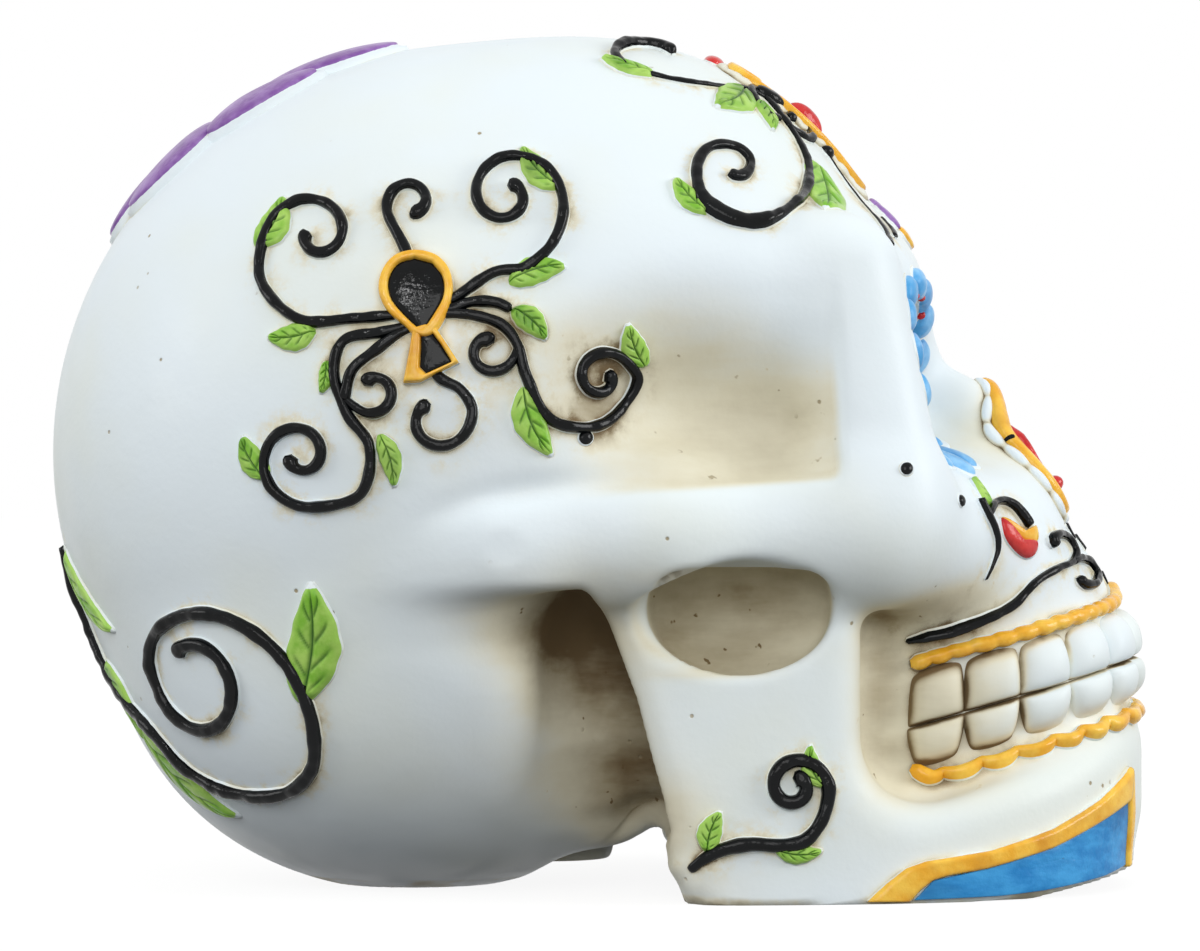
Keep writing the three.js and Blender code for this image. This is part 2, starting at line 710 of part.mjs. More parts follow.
function templeHub(grow = 0) {
  const reach = hubShares.reach.map((share) => share + grow / temple.span);
  const outline = ovalShares(hubShares.middle, reach, hubSides).map((point) => temple.place(point));
  const middle = temple.place(hubShares.middle);
  return solid(plate(middle, outline, () => hubHeight - seatGap, { grow, rings: [1] }));
}

const templeRoom = templeStrokeShares
  .map((stroke) => strokeSolid(temple, stroke, seatGap))
  .reduce((sum, body) => sum.add(body), templeHub(seatGap));
pair('temple_scrollwork', seated(scrollwork(temple, templeStrokeShares, [], [templeHub()])), 'black');
templeLeafShares.forEach((shares, index) => {
  const body = largest(solid(leafGeometry(temple, shares)).subtract(templeRoom));
  pair(`temple_leaf_${String(index + 1).padStart(2, '0')}`, geometryOf(body), 'green');
});

// The keyhole: a rim and an inset plate over the hub, both leaning, drawn from the middle of the head.
const keyholeShares = { head: 0.078, waist: 0.026, waistDrop: 0.1, foot: 0.06, drop: 0.205, lean: 12 };

function keyholeOutline({ head, waist, waistDrop, foot, drop, lean }, inset = 0) {
  const [h, w, f] = [head - inset, waist - inset * 0.7, foot - inset];
  const arc = Array.from({ length: 9 }, (_, index) => {
    const angle = THREE.MathUtils.degToRad(-42 + 264 * index / 8);
    return [h * Math.cos(angle), h * Math.sin(angle)];
  });
  const foots = [[-w, -waistDrop], [-f, inset - drop], [f, inset - drop], [w, -waistDrop]];
  const [c, s] = [Math.cos(THREE.MathUtils.degToRad(lean)), Math.sin(THREE.MathUtils.degToRad(lean))];
  return [...arc, ...foots].map(([x, y]) => [x * c - y * s, x * s + y * c]);
}

const keyholeBase = hubHeight + seatGap;
pair('keyhole_rim', bead(
  runAlong(temple, keyholeOutline(keyholeShares), { loop: true, step: shortStep }),
  () => keyholeRimWidth, () => keyholeThickness, { base: keyholeBase },
), 'yellow');
const keyholeInsetShare = (keyholeRimWidth / 2 + seatGap) / temple.span;
pair('keyhole_inset', plate(
  temple.place([0.02, -0.08]),
  keyholeOutline(keyholeShares, keyholeInsetShare * 1.25).map((point) => temple.place(point)),
  () => keyholeInsetThickness, { base: keyholeBase, rings: [1] },
), 'black');

// The scroll on the side of the forehead, with the leaves that grow from it.
const forehead = new Sketch({
  middleShare: [0.112, -0.309, 0.855], faces: [60, 50], spanShare: foreheadSpanShare,
});
const foreheadStrokeShares = [
  {
    points: [[0.36, 0.4], [0.3, 0.42], [0.171, 0.375], [0.03, 0.367], [-0.08, 0.4], [-0.14, 0.47]],
    curl: { middle: [-0.07, 0.5], turns: -0.6, tight: 0.6 },
  },
  {
    points: [
      [0.36, 0.4], [0.335, 0.25], [0.344, 0.09], [0.335, -0.01], [0.237, -0.156], [0.104, -0.275],
      [-0.003, -0.303], [-0.1, -0.287],
    ],
    curl: { middle: [-0.03, -0.1], turns: -1.2, tight: 0.22 },
  },
  { points: [[0.345, 0.2], [0.41, 0.2], [0.46, 0.27], [0.45, 0.34]] },
  { points: [[0.35, 0.41], [0.3, 0.37], [0.275, 0.32], [0.31, 0.27]] },
];
const foreheadLeafShares = [
  { foot: [-0.07, 0.4], tip: [-0.23, 0.5], wide: 0.34 },
  { foot: [0.24, 0.4], tip: [0.08, 0.22], wide: 0.4 },
  { foot: [0.31, 0.29], tip: [0.22, 0.17], wide: 0.4 },
  { foot: [0.335, 0.04], tip: [0.27, -0.25], wide: 0.34, bend: -0.12 },
  { foot: [-0.13, -0.25], tip: [-0.24, -0.08], wide: 0.36 },
];
const foreheadScroll = scrollwork(forehead, foreheadStrokeShares, foreheadLeafShares);
pair('forehead_scrollwork', seated(foreheadScroll), 'black');

// The long scroll that climbs from under the back of the head.
const nape = new Sketch({
  middleShare: [-0.329, -0.34, 0.231], faces: [150, -18], spanShare: napeSpanShare,
});
const napeStrokeShares = [
  {
    points: [
      [-0.7, 0.43], [-0.7, 0.25], [-0.62, 0.09], [-0.481, -0.004], [-0.355, -0.084], [-0.267, -0.185],
      [-0.17, -0.247], [-0.038, -0.286], [0.076, -0.283], [0.169, -0.226], [0.218, -0.121],
      [0.224, -0.013], [0.197, 0.087], [0.122, 0.183], [0.03, 0.232], [-0.075, 0.236], [-0.184, 0.193],
      [-0.235, 0.124],
    ],
    curl: { middle: [-0.068, 0.062], turns: 0.9, tight: 0.5 },
  },
];
const napeLeafShares = [
  { foot: [-0.68, 0.42], tip: [-0.4, 0.2], wide: 0.22, bend: -0.1 },
  { foot: [-0.42, -0.06], tip: [-0.2, -0.33], wide: 0.2, bend: -0.08 },
  { foot: [0.21, -0.05], tip: [0.31, 0.27], wide: 0.38, bend: -0.05 },
  { foot: [-0.6, 0.08], tip: [-0.49, -0.09], wide: 0.22 },
];
pair('nape_scrollwork', geometryOf(scrollwork(nape, napeStrokeShares, napeLeafShares)), 'black');

// The small scroll on the corner of the jaw.
const jaw = new Sketch({ middleShare: [0.158, -0.402, 0.103], faces: [90, 0], spanShare: jawSpanShare });
const jawStrokeShares = [
  {
    points: [
      [-0.488, -0.309], [-0.417, -0.246], [-0.307, -0.191], [-0.158, -0.164], [-0.004, -0.171],
      [0.135, -0.149], [0.223, -0.051], [0.262, 0.059],
    ],
    curl: { middle: [0.08, 0.15], turns: 1, tight: 0.3 },
  },
];
const jawLeafShares = [
  { foot: [-0.4, -0.21], tip: [-0.323, 0.023], wide: 0.42 },
  { foot: [0.26, 0.14], tip: [0.17, 0.39], wide: 0.36, bend: 0.16 },
  { foot: [-0.03, -0.19], tip: [0.245, -0.2], wide: 0.3, bend: -0.1 },
];
pair('jaw_scrollwork', seated(scrollwork(jaw, jawStrokeShares, jawLeafShares)), 'black');

// The scroll beside the nose, its drop, and the moustache over the upper teeth.
const cheek = new Sketch({ middleShare: [0.355, -0.278, 0.376], faces: [55, 5], spanShare: cheekSpanShare });
const cheekStrokeShares = [
  {
    points: [
      [-0.128, -0.054], [-0.069, 0.105], [-0.069, 0.199], [-0.099, 0.3], [-0.051, 0.371],
      [0.059, 0.361], [0.153, 0.304], [0.196, 0.241],
    ],
  },
];
const cheekLeafShares = [{ foot: [-0.09, 0.3], tip: [-0.2, 0.46], wide: 0.42 }];
pair('cheek_scrollwork', seated(scrollwork(cheek, cheekStrokeShares, cheekLeafShares)), 'black');
const dropShares = [
  [-0.01, 0.26], [0.06, 0.19], [0.17, 0.16], [0.2, 0.1], [0.14, 0.04], [0.05, 0.06], [-0.005, 0.14],
];
pair('cheek_drop', plate(
  cheek.place([0.09, 0.13]), dropShares.map((point) => cheek.place(point)), () => dropHeight,
), 'red');
const moustacheStrokeShares = [
  {
    points: [
      [-0.2, -0.3], [-0.056, -0.27], [0.083, -0.21], [0.18, -0.145], [0.282, -0.041], [0.4, 0.01],
      [0.507, 0.057], [0.53, 0.11],
    ],
    curl: { middle: [0.45, 0.13], turns: 0.6, tight: 0.6 },
  },
  { points: [[0.47, 0.04], [0.58, 0.03]], curl: { middle: [0.57, -0.04], turns: -0.65, tight: 0.6 } },
];
pair('moustache', seated(scrollwork(cheek, moustacheStrokeShares)), 'black');

// A ring of petals round each eye socket.
const eye = new Sketch({ middleShare: [0.303, -0.196, 0.594], faces: [14, 5], spanShare: eyeSpanShare });
const eyeRingShares = { middle: [0, 0], reach: [0.49, 0.47] };

// A run of evenly spaced places along a drawn line.
function evenRun(sketch, drawn, count, loop) {
  const corners = drawn.map(([right, up]) => new THREE.Vector3(right, up, 0));
  const curve = new THREE.CatmullRomCurve3(corners, loop, 'centripetal');
  const samples = curve.getSpacedPoints(count);
  if (loop) samples.pop();
  return {
    places: samples.map((p) => sketch.place([p.x, p.y])),
    along: samples.map((_, k) => k / count),
    length: 1,
    loop,
  };
}

const eyeRingOutline = ovalShares(eyeRingShares.middle, eyeRingShares.reach, eyeRingCorners);
const wave = (share, count) => Math.abs(Math.sin(Math.PI * share * count));
pair('eye_petal_ring', seated(solid(bead(
  evenRun(eye, eyeRingOutline, petalsPerEye * stepsPerPetal, true),
  (share) => petalLength * (0.62 + 0.38 * wave(share, petalsPerEye)),
  (share) => petalValley + (petalHeight - petalValley) * wave(share, petalsPerEye) - seatGap,
))), 'paleBlue');

// The frame round the nose opening.
const nose = new Sketch({ middleShare: [0.395, 0, 0.515], faces: [0, 18], spanShare: noseSpanShare });
const halfNoseShares = [[0, 0.52], [0.2, 0.36], [0.36, 0.08], [0.44, -0.24], [0.32, -0.46], [0.12, -0.46]];
const otherHalf = (half) => half.slice(1).reverse().map(([right, up]) => [-right, up]);
const noseShares = [...halfNoseShares, [0, -0.36], ...otherHalf(halfNoseShares)];
piece('nose_frame', seated(solid(bead(
  runAlong(nose, noseShares, { loop: true, step: shortStep }),
  () => noseFrameWidth, () => noseFrameHeight - seatGap,
))), 'yellow');

// The teeth and the piping above and below them.
const archShares = boneShares.find(({ name }) => name === 'tooth arch').plan;
const arch = new ArchBand({
  middle: archShares.middle * skullLength, long: archShares.long * skullLength, fall: 0.28 * stretch.z,
});

// A run of places round the tooth arch from one side to the other, as even steps of its length.
function archRun(level, widestBearing, count, waveAt = () => 0) {
  const bearings = Array.from({ length: archSamples + 1 }, (_, k) => (
    widestBearing * (2 * k / archSamples - 1)));
  const curve = new THREE.CatmullRomCurve3(bearings.map((bearing) => arch.place([bearing, level])));
  const even = curve.getSpacedPoints(count);
  return {
    places: even.map((p, k) => {
      const out = new THREE.Vector3(p.x - arch.middle, p.y, 0).normalize();
      return cast(new THREE.Vector3(arch.middle, 0, p.z + waveAt(k / count)), out);
    }),
    along: even.map((_, k) => k / count),
    length: 1,
    loop: false,
  };
}

const toothRows = [
  { row: 'upper', shares: upperToothShares },
  { row: 'lower', shares: lowerToothShares },
];
toothRows.forEach(({ row, shares }) => {
  piece(`${row}_teeth`, seated(solid(bead(
    archRun(shares.level * skullHeight, archBearing, teethPerRow * stepsPerTooth),
    () => shares.tall * skullHeight,
    (share) => toothValley + (toothBulge - toothValley) * wave(share, teethPerRow) ** 0.5 - seatGap,
    { section: toothSectionShares },
  ))), 'bone');
});
piece('upper_gum_piping', seated(solid(bead(
  archRun(upperPipingShare * skullHeight, archBearing, wavesPerPiping * stepsPerWave),
  () => pipingWidth, () => pipingHeight - seatGap,
))), 'yellow');
const dip = (share) => -pipingWave * wave(share, wavesPerPiping);
piece('lower_gum_piping', seated(solid(bead(
  archRun(lowerPipingShare * skullHeight, archBearing, wavesPerPiping * stepsPerWave, dip),
  () => pipingWidth, () => pipingHeight - seatGap,
))), 'yellow');

// The border and the panel on each side of the chin.
const chin = new Sketch({ middleShare: [0.368, -0.309, 0.068], faces: [50, 0], spanShare: chinSpanShare });
const chinBorderShares = [
  [-0.42, -0.15], [-0.31, -0.083], [-0.176, -0.062], [-0.016, -0.03], [0.174, 0.03], [0.33, 0.09],
  [0.45, 0.145], [0.52, 0.09], [0.53, -0.08],
];
const chinPanelMiddleShares = [0.12, -0.09];
const chinPanelShares = [
  [-0.33, -0.165], [-0.25, -0.13], [-0.16, -0.11], [-0.01, -0.08], [0.17, -0.02], [0.32, 0.035],
  [0.43, 0.085], [0.475, 0.05], [0.48, -0.085], [0.3, -0.125], [0.1, -0.165], [-0.15, -0.165],
];
pair('chin_border', bead(
  runAlong(chin, chinBorderShares), () => chinBorderWidth, () => chinBorderHeight - seatGap,
), 'yellow');
pair('chin_panel', plate(
  chin.place(chinPanelMiddleShares), chinPanelShares.map((point) => chin.place(point)),
  () => chinPanelHeight - seatGap,
), 'blue');

// The heart and its rim in the middle of the forehead.
const browHeart = new Sketch({ middleShare: [0.184, 0, 0.92], faces: [0, 58], spanShare: heartSpanShare });
const halfHeartShares = [[0, -0.52], [0.2, -0.28], [0.33, 0], [0.35, 0.26], [0.25, 0.43], [0.1, 0.42]];
const wholeHeart = (half, notchShare) => [...half, [0, notchShare], ...otherHalf(half)];
const heartShares = wholeHeart(halfHeartShares, 0.28);
piece('forehead_heart_rim', bead(
  runAlong(browHeart, heartShares, { loop: true }), () => heartRimWidth, () => heartRimHeight - seatGap,
), 'yellow');
const heartFill = 1 - 3.6 * (heartRimWidth / 2 + seatGap) / browHeart.span;
const halfFillShares = halfHeartShares.slice(0, -1).map((point) => point.map((share) => share * heartFill));
const heartFillShares = wholeHeart(halfFillShares, 0.18);
piece('forehead_heart', plate(
  browHeart.place([0, 0]),
  heartFillShares.map((point) => browHeart.place(point)),
  (share) => (heartHeight - seatGap) * (1 - 0.4 * share * share),
), 'red');

// Flowers: lobed plates, high in the middle of each petal. The width is a share of the length.
function flower(sketch, petals, stepsEach, widthShare) {
  const count = petals * stepsEach;
  const outline = Array.from({ length: count }, (_, k) => {
    const [angle, reach] = [2 * Math.PI * k / count, 0.5 * (0.8 + 0.2 * wave(k / count, petals))];
    return sketch.place([reach * Math.cos(angle) * widthShare, reach * Math.sin(angle)]);
  });
  const heightAt = (share, round) => (
    flowerValley - seatGap
    + (flowerHeight - flowerValley) * wave(round, petals) * Math.sin(Math.PI * share * 0.8));
  return plate(sketch.place([0, 0]), outline, heightAt, { rings: [0.3, 0.65, 1] });
}

const crown = new Sketch({
  middleShare: [-0.322, 0, 0.897], faces: [180, 42], spanShare: crownFlowerSpanShare,
});
piece('crown_flower', seated(solid(flower(crown, 7, 3, crownFlowerWidthShare))), 'purple');
const browMiddle = new Sketch({
  middleShare: [0.26, 0, 0.778], faces: [0, 30], spanShare: browFlowerSpanShare,
});
piece('brow_flower', flower(browMiddle, 5, 3, 1), 'purple');

// The origin is under the middle of the whole skull.
const reachBox = new THREE.Box3().setFromObject(skull);
skull.position.setX(-(reachBox.min.x + reachBox.max.x) / 2);

export default skull;
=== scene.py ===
import logging
import math
from dataclasses import dataclass, field
from enum import Enum
from typing import Callable, Optional, Sequence

import bpy
import numpy as np
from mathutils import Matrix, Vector


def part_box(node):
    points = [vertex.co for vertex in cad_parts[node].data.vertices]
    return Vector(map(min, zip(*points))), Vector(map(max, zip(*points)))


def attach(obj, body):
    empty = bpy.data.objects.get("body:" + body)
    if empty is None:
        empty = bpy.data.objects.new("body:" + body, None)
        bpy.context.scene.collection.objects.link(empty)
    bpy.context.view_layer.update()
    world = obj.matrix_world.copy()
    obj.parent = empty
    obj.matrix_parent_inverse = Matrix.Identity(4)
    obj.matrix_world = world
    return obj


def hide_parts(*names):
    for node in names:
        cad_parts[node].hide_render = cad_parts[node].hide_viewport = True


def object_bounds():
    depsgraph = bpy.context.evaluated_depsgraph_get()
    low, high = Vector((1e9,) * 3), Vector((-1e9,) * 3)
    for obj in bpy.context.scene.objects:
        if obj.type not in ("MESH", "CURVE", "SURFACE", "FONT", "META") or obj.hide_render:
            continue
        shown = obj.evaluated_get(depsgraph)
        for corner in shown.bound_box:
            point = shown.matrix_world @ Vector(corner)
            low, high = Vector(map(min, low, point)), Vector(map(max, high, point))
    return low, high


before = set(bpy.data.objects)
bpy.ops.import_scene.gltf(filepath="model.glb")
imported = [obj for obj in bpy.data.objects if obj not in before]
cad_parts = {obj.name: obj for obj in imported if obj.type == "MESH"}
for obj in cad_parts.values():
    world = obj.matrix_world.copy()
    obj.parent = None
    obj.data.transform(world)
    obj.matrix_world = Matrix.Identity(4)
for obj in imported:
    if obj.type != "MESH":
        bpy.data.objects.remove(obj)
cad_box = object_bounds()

log = logging.getLogger("sugar_skull")

Array = np.ndarray
Point = tuple[float, float]

# The skull's driving sizes in millimetres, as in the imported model.
LENGTH = 152.0
WIDTH = 97.0
HEIGHT = 117.0
SIZES = np.array([LENGTH, WIDTH, HEIGHT])
MM = 0.001


# The skin: distances to the bones, and the rounded joins between them.

def scaled(shares: Sequence[float]) -> Array:
    """Turns shares of the skull's length, width and height into millimetres.

    Args:
        shares: one share for each of the three sizes.

    Returns:
        The place or reach in millimetres.
    """
    return np.array(shares, dtype=float) * SIZES


def join(a: Array, b: Array, soft: float) -> Array:
    """Joins two bodies smoothly: min(a, b) - (1 - |a - b| / soft)^2 soft / 4 where they are near.

    Args:
        a: distances to the first body.
        b: distances to the second body.
        soft: the width over which they blend, in millimetres.

    Returns:
        Distances to the joined body.
    """
    if soft == 0:
        return np.minimum(a, b)
    near = np.maximum(soft - np.abs(a - b), 0) / soft
    return np.minimum(a, b) - near * near * soft / 4


def meet(a: Array, b: Array, edge: float) -> Array:
    """Intersects two bodies with a rounded edge: min(max(a, b), -r) + |max((a, b) + r, 0)|.

    Args:
        a: distances to the first body.
        b: distances to the second body.
        edge: the edge's radius r in millimetres.

    Returns:
        Distances to what the two bodies share.
    """
    u, v = np.maximum(a + edge, 0), np.maximum(b + edge, 0)
    return np.minimum(np.maximum(a, b), -edge) + np.sqrt(u * u + v * v)


@dataclass(frozen=True)
class Face:
    """A plane that planes off a block, by shares of length, height and width, and its rounding."""

    at: tuple[float, ...]
    normal: tuple[float, ...]
    edge: float = 0.0

    def depth(self, x: Array, y: Array, z: Array) -> Array:
        """Distance above the plane: (place - at) . normal / |normal|.

        Args:
            x: places along the length.
            y: places across.
            z: places up.

        Returns:
            The distances in millimetres.
        """
        at = np.array([*self.at, 0.0][:3]) * np.array([LENGTH, HEIGHT, WIDTH])
        normal = np.array([*self.normal, 0.0][:3])
        normal = normal / np.linalg.norm(normal)
        return (x - at[0]) * normal[0] + (z - at[1]) * normal[1] + (y - at[2]) * normal[2]


@dataclass(frozen=True)
class Oval:
    """An ellipsoid of bone, or one that is cut away, leaning in the side view."""

    at: tuple[float, float, float]
    reach: tuple[float, float, float]
    soft: float = 0.0
    cut: bool = False
    lean: float = 0.0

    def depth(self, x: Array, y: Array, z: Array) -> Array:
        """Distance to the ellipsoid: |q| (|q| - 1) / |grad|, with q the place in its radii.

        Args:
            x: places along the length.
            y: places across.
            z: places up.

        Returns:
            The distances in millimetres.
        """
        at, reach = scaled(self.at), scaled(self.reach)
        c, s = math.cos(math.radians(self.lean)), math.sin(math.radians(self.lean))
        u = ((x - at[0]) * c + (z - at[2]) * s) / reach[0]
        v = (y - at[1]) / reach[1]
        w = ((z - at[2]) * c - (x - at[0]) * s) / reach[2]
        near = u * u + v * v + w * w
        steep = np.sqrt((u / reach[0]) ** 2 + (v / reach[1]) ** 2 + (w / reach[2]) ** 2)
        return (near - np.sqrt(near)) / np.maximum(steep, 1e-12)


@dataclass(frozen=True)
class Limb:
    """A tapered limb with round ends, made thinner sideways by one factor."""

    start: tuple[float, float, float]
    end: tuple[float, float, float]
    thick: tuple[float, float]
    soft: float
    thin: float = 1.0
    cut: bool = False

    def depth(self, x: Array, y: Array, z: Array) -> Array:
        """Distance to the limb: from its axis, less its radius at the nearest place of the axis.

        Args:
            x: places along the length.
            y: places across.
            z: places up.

        Returns:
            The distances in millimetres.
        """
        start, end = scaled(self.start), scaled(self.end)
        start[1] /= self.thin
        end[1] /= self.thin
        run = end - start
        u, v, w = x - start[0], y / self.thin - start[1], z - start[2]
        along = np.clip((u * run[0] + v * run[1] + w * run[2]) / (run @ run), 0, 1)
        away = (u - along * run[0]) ** 2 + (v - along * run[1]) ** 2 + (w - along * run[2]) ** 2
        first, last = self.thick[0] * LENGTH, self.thick[1] * LENGTH
        return (np.sqrt(away) - first - along * (last - first)) * self.thin


@dataclass(frozen=True)
class Block:
    """An upright block with an oval plan, rounded edges, planed faces and, on the jaw, a notch."""

    middle: float
    long: float
    wide: float
    power: float
    rise: tuple[float, float]
    edge: float
    soft: float
    faces: tuple[Face, ...] = ()
    notch: tuple[Face, ...] = ()
    notch_edge: float = 0.0
    notch_soft: float = 0.0
    cut: bool = False

    def depth(self, x: Array, y: Array, z: Array) -> Array:
        """Distance to the block: r (1 - 1 / f) with f the plan's power norm, met with faces and ends.

        Args:
            x: places along the length.
            y: places across.
            z: places up.

        Returns:
            The distances in millimetres.
        """
        u = x - self.middle * LENGTH
        norm = np.abs(u / (self.long * LENGTH)) ** self.power + np.abs(y / (self.wide * WIDTH)) ** self.power
        reach = np.maximum(norm ** (1 / self.power), 1e-12)
        depth = np.sqrt(u * u + y * y) * (1 - 1 / reach)
        for face in self.faces:
            depth = meet(depth, face.depth(x, y, z), face.edge * LENGTH)
        low, high = self.rise[0] * HEIGHT, self.rise[1] * HEIGHT
        depth = meet(depth, np.maximum(low - z, z - high), self.edge * LENGTH)
        if not self.notch:
            return depth
        room = meet(*(face.depth(x, y, z) for face in self.notch), self.notch_edge * LENGTH)
        return -join(-depth, room, self.notch_soft * LENGTH)


BONES = (
    Oval((-0.112, 0, 0.513), (0.388, 0.5, 0.487)),
    Oval((0.013, 0, 0.59), (0.27, 0.443, 0.41), 0.053),
    Oval((-0.184, 0, 0.244), (0.234, 0.402, 0.247), 0.066),
    Oval((0.132, 0.639, 0.581), (0.164, 0.289, 0.154), 0.059, cut=True, lean=8),
    Oval((0.02, 0.515, 0.188), (0.072, 0.247, 0.222), 0.059, cut=True, lean=-10),
    Block(0.066, 0.224, 0.392, 3.2, (0.615, 0.769), edge=0.053, soft=0.066),
    Limb((0.217, 0.33, 0.718), (0.243, 0.361, 0.496), (0.046, 0.056), 0.039, 0.8),
    Limb((0.23, 0, 0.684), (0.296, 0, 0.582), (0.034, 0.033), 0.039),
    Limb((0.334, 0.015, 0.566), (0.373, 0.06, 0.453), (0.028, 0.033), 0.026),
    Limb((0.283, 0.263, 0.419), (0.237, 0.356, 0.423), (0.062, 0.057), 0.046),
    Limb((0.237, 0.366, 0.419), (0.053, 0.418, 0.415), (0.054, 0.049), 0.046, 0.8),
    Limb((0.053, 0.418, 0.415), (-0.079, 0.438, 0.397), (0.049, 0.036), 0.046, 0.9),
    Limb((-0.079, 0.438, 0.397), (-0.217, 0.371, 0.355), (0.036, 0.02), 0.046, 0.9),
    Oval((0.066, 0, 0.239), (0.263, 0.32, 0.188), 0.039),
    Block(
        0.053, 0.438, 0.412, 2.4, (-0.03, 0.402), edge=0.02, soft=0.02,
        faces=(Face((0.033, 0.179), (-1, -0.317), 0.033),),
        notch=(Face((0.23, 0.239), (-1, 0)), Face((0.276, 0.103), (0.3, -1))),
        notch_edge=0.079, notch_soft=0.033,
    ),
    Oval((0.122, 0.438, 0.325), (0.089, 0.088, 0.064), 0.013, cut=True),
    Block(
        0.263, 0.224, 0.263, 2.4, (0.068, 0.53), edge=0.026, soft=0.039,
        faces=(
            Face((0.467, 0.376), (1, 1), 0.053),
            Face((0.382, 0.427, 0.206), (0.62, 0.48, 0.62), 0.053),
        ),
    ),
    Limb((0.289, 0.227, 0.393), (0.342, 0.124, 0.393), (0.053, 0.066), 0.053),
    Oval((0.368, 0.191, 0.594), (0.145, 0.129, 0.098), 0.026, cut=True),
    Oval((0.421, 0, 0.509), (0.079, 0.057, 0.068), 0.013, cut=True, lean=-18),
    Oval((0.132, 0, -0.017), (0.184, 0.258, 0.154), 0.026, cut=True),
)
HEART = scaled((0.053, 0, 0.427))
CHIN_LIFT = 0.382 * LENGTH
CHIN_SLOPE = 0.17


class Skin:
    """The skull's skin as a distance that is measured anywhere, negative inside."""

    PROBE = LENGTH / 3000
    NEAR = LENGTH / 30000
    STRIDE = 0.7
    CAST_TURNS = 200
    LEAST_SLOPE = 0.25
    LARGEST_MOVE = LENGTH / 40

    def depth(self, places: Array) -> Array:
        """Measures the distance from places to the skin: the bones joined and cut in their order.

        Args:
            places: an array of places in millimetres, the last axis x, y, z.

        Returns:
            The distances, the two sides of the skull alike.
        """
        x, side, z = places[..., 0], np.abs(places[..., 1]), places[..., 2]
        depth = BONES[0].depth(x, side, z)
        for bone in BONES[1:]:
            own = bone.depth(x, side, z)
            soft = bone.soft * LENGTH
            depth = -join(-depth, own, soft) if bone.cut else join(depth, own, soft)
        return np.maximum(depth, CHIN_SLOPE * (x - CHIN_LIFT) - z)

    def slope(self, places: Array, here: Optional[Array] = None) -> Array:
        """Measures how the distance rises along x, y and z, by one probe along each.

        Args:
            places: an array of places.
            here: their distances, where they are known.

        Returns:
            The slope at each place; its direction is the way in which the skin faces.
        """
        here = self.depth(places) if here is None else here
        return np.stack([
            (self.depth(places + self.PROBE * np.eye(3)[axis]) - here) / self.PROBE for axis in range(3)
        ], axis=-1)

    def facing(self, places: Array) -> Array:
        """Finds the way in which the skin faces.

        Args:
            places: an array of places near the skin.

        Returns:
            One unit direction for each place.
        """
        slope = self.slope(places)
        return slope / np.linalg.norm(slope, axis=-1, keepdims=True)

    def settle(self, places: Array, level: float = 0.0, turns: int = 3) -> Array:
        """Moves places straight off the skin until they stand at a level above it, by Newton's steps.

        Args:
            places: an array of places near the skin.
            level: the level in millimetres.
            turns: how many steps are taken.

        Returns:
            The settled places.
        """
        for _ in range(turns):
            here = self.depth(places)
            slope = self.slope(places, here)
            steep = np.maximum((slope * slope).sum(-1), self.LEAST_SLOPE)
            move = np.clip((level - here) / steep, -self.LARGEST_MOVE, self.LARGEST_MOVE)
            places = places + slope * move[..., None]
        return places

    def cast(self, origins: Array, out: Array) -> Array:
        """Finds the first place of the skin on the way in along directions that point out.

        Args:
            origins: places that the directions point away from.
            out: a unit direction, or one for each origin.

        Returns:
            One place on the skin for each origin.
        """
        starts = origins.reshape(-1, 3)
        ways = np.broadcast_to(out, origins.shape).reshape(-1, 3)
        travel = np.full(len(starts), LENGTH)
        active = np.arange(len(starts))
        for _ in range(self.CAST_TURNS):
            depth = self.depth(starts[active] + ways[active] * travel[active, None])
            ahead = depth > self.NEAR
            active, depth = active[ahead], depth[ahead]
            if not len(active):
                break
            travel[active] -= depth * self.STRIDE
        return (starts + ways * travel[:, None]).reshape(origins.shape)


SKIN = Skin()


def direction(bearing: float, rise: float) -> Array:
    """Makes a unit direction.

    Args:
        bearing: degrees from the face's way, towards the right side.
        rise: degrees above the level.

    Returns:
        The direction.
    """
    b, r = math.radians(bearing), math.radians(rise)
    return np.array([math.cos(b) * math.cos(r), -math.sin(b) * math.cos(r), math.sin(r)])


# Drawn lines and the planes that they are drawn on.

@dataclass(frozen=True)
class Sketch:
    """A sketch plane: drawings on it are in shares of its span and are cast onto the skin."""

    middle: tuple[float, float, float]
    bearing: float
    rise: float
    share: float

    @property
    def span(self) -> float:
        """The drawings' unit in millimetres, from its share of the skull's length."""
        return self.share * LENGTH

    def lay(self, drawn: Array) -> Array:
        """Casts drawn points onto the skin: middle + span (right u + up v), then along the way in.

        Args:
            drawn: an array of points in shares of the span, the last axis right and up.

        Returns:
            Their places on the skin.
        """
        out = direction(self.bearing, self.rise)
        right = np.cross([0, 0, 1], out)
        right = right / np.linalg.norm(right)
        up = np.cross(out, right)
        flat = np.asarray(drawn, dtype=float) * self.span
        return SKIN.cast(scaled(self.middle) + flat[..., :1] * right + flat[..., 1:] * up, out)


@dataclass(frozen=True)
class Curl:
    """A curl that winds in about a middle by a number of turns, to a share of its first radius."""

    middle: Point
    turns: float
    tight: float


def wound(points: Sequence[Point], curl: Optional[Curl]) -> Array:
    """Adds a curl to drawn points: an exponential spiral, radius r0 tight^t at the angle a0 + 2 pi turns t.

    Args:
        points: the drawn points.
        curl: the curl at their end, if there is one.

    Returns:
        The points with the curl's.
    """
    drawn = np.array(points, dtype=float)
    if curl is None:
        return drawn
    middle = np.array(curl.middle)
    arm = drawn[-1] - middle
    t = np.linspace(0, 1, math.ceil(abs(curl.turns) * 14) + 1)[1:]
    angle = math.atan2(arm[1], arm[0]) + 2 * math.pi * curl.turns * t
    radius = np.hypot(*arm) * curl.tight ** t
    return np.vstack([drawn, middle + np.stack([radius * np.cos(angle), radius * np.sin(angle)], axis=-1)])


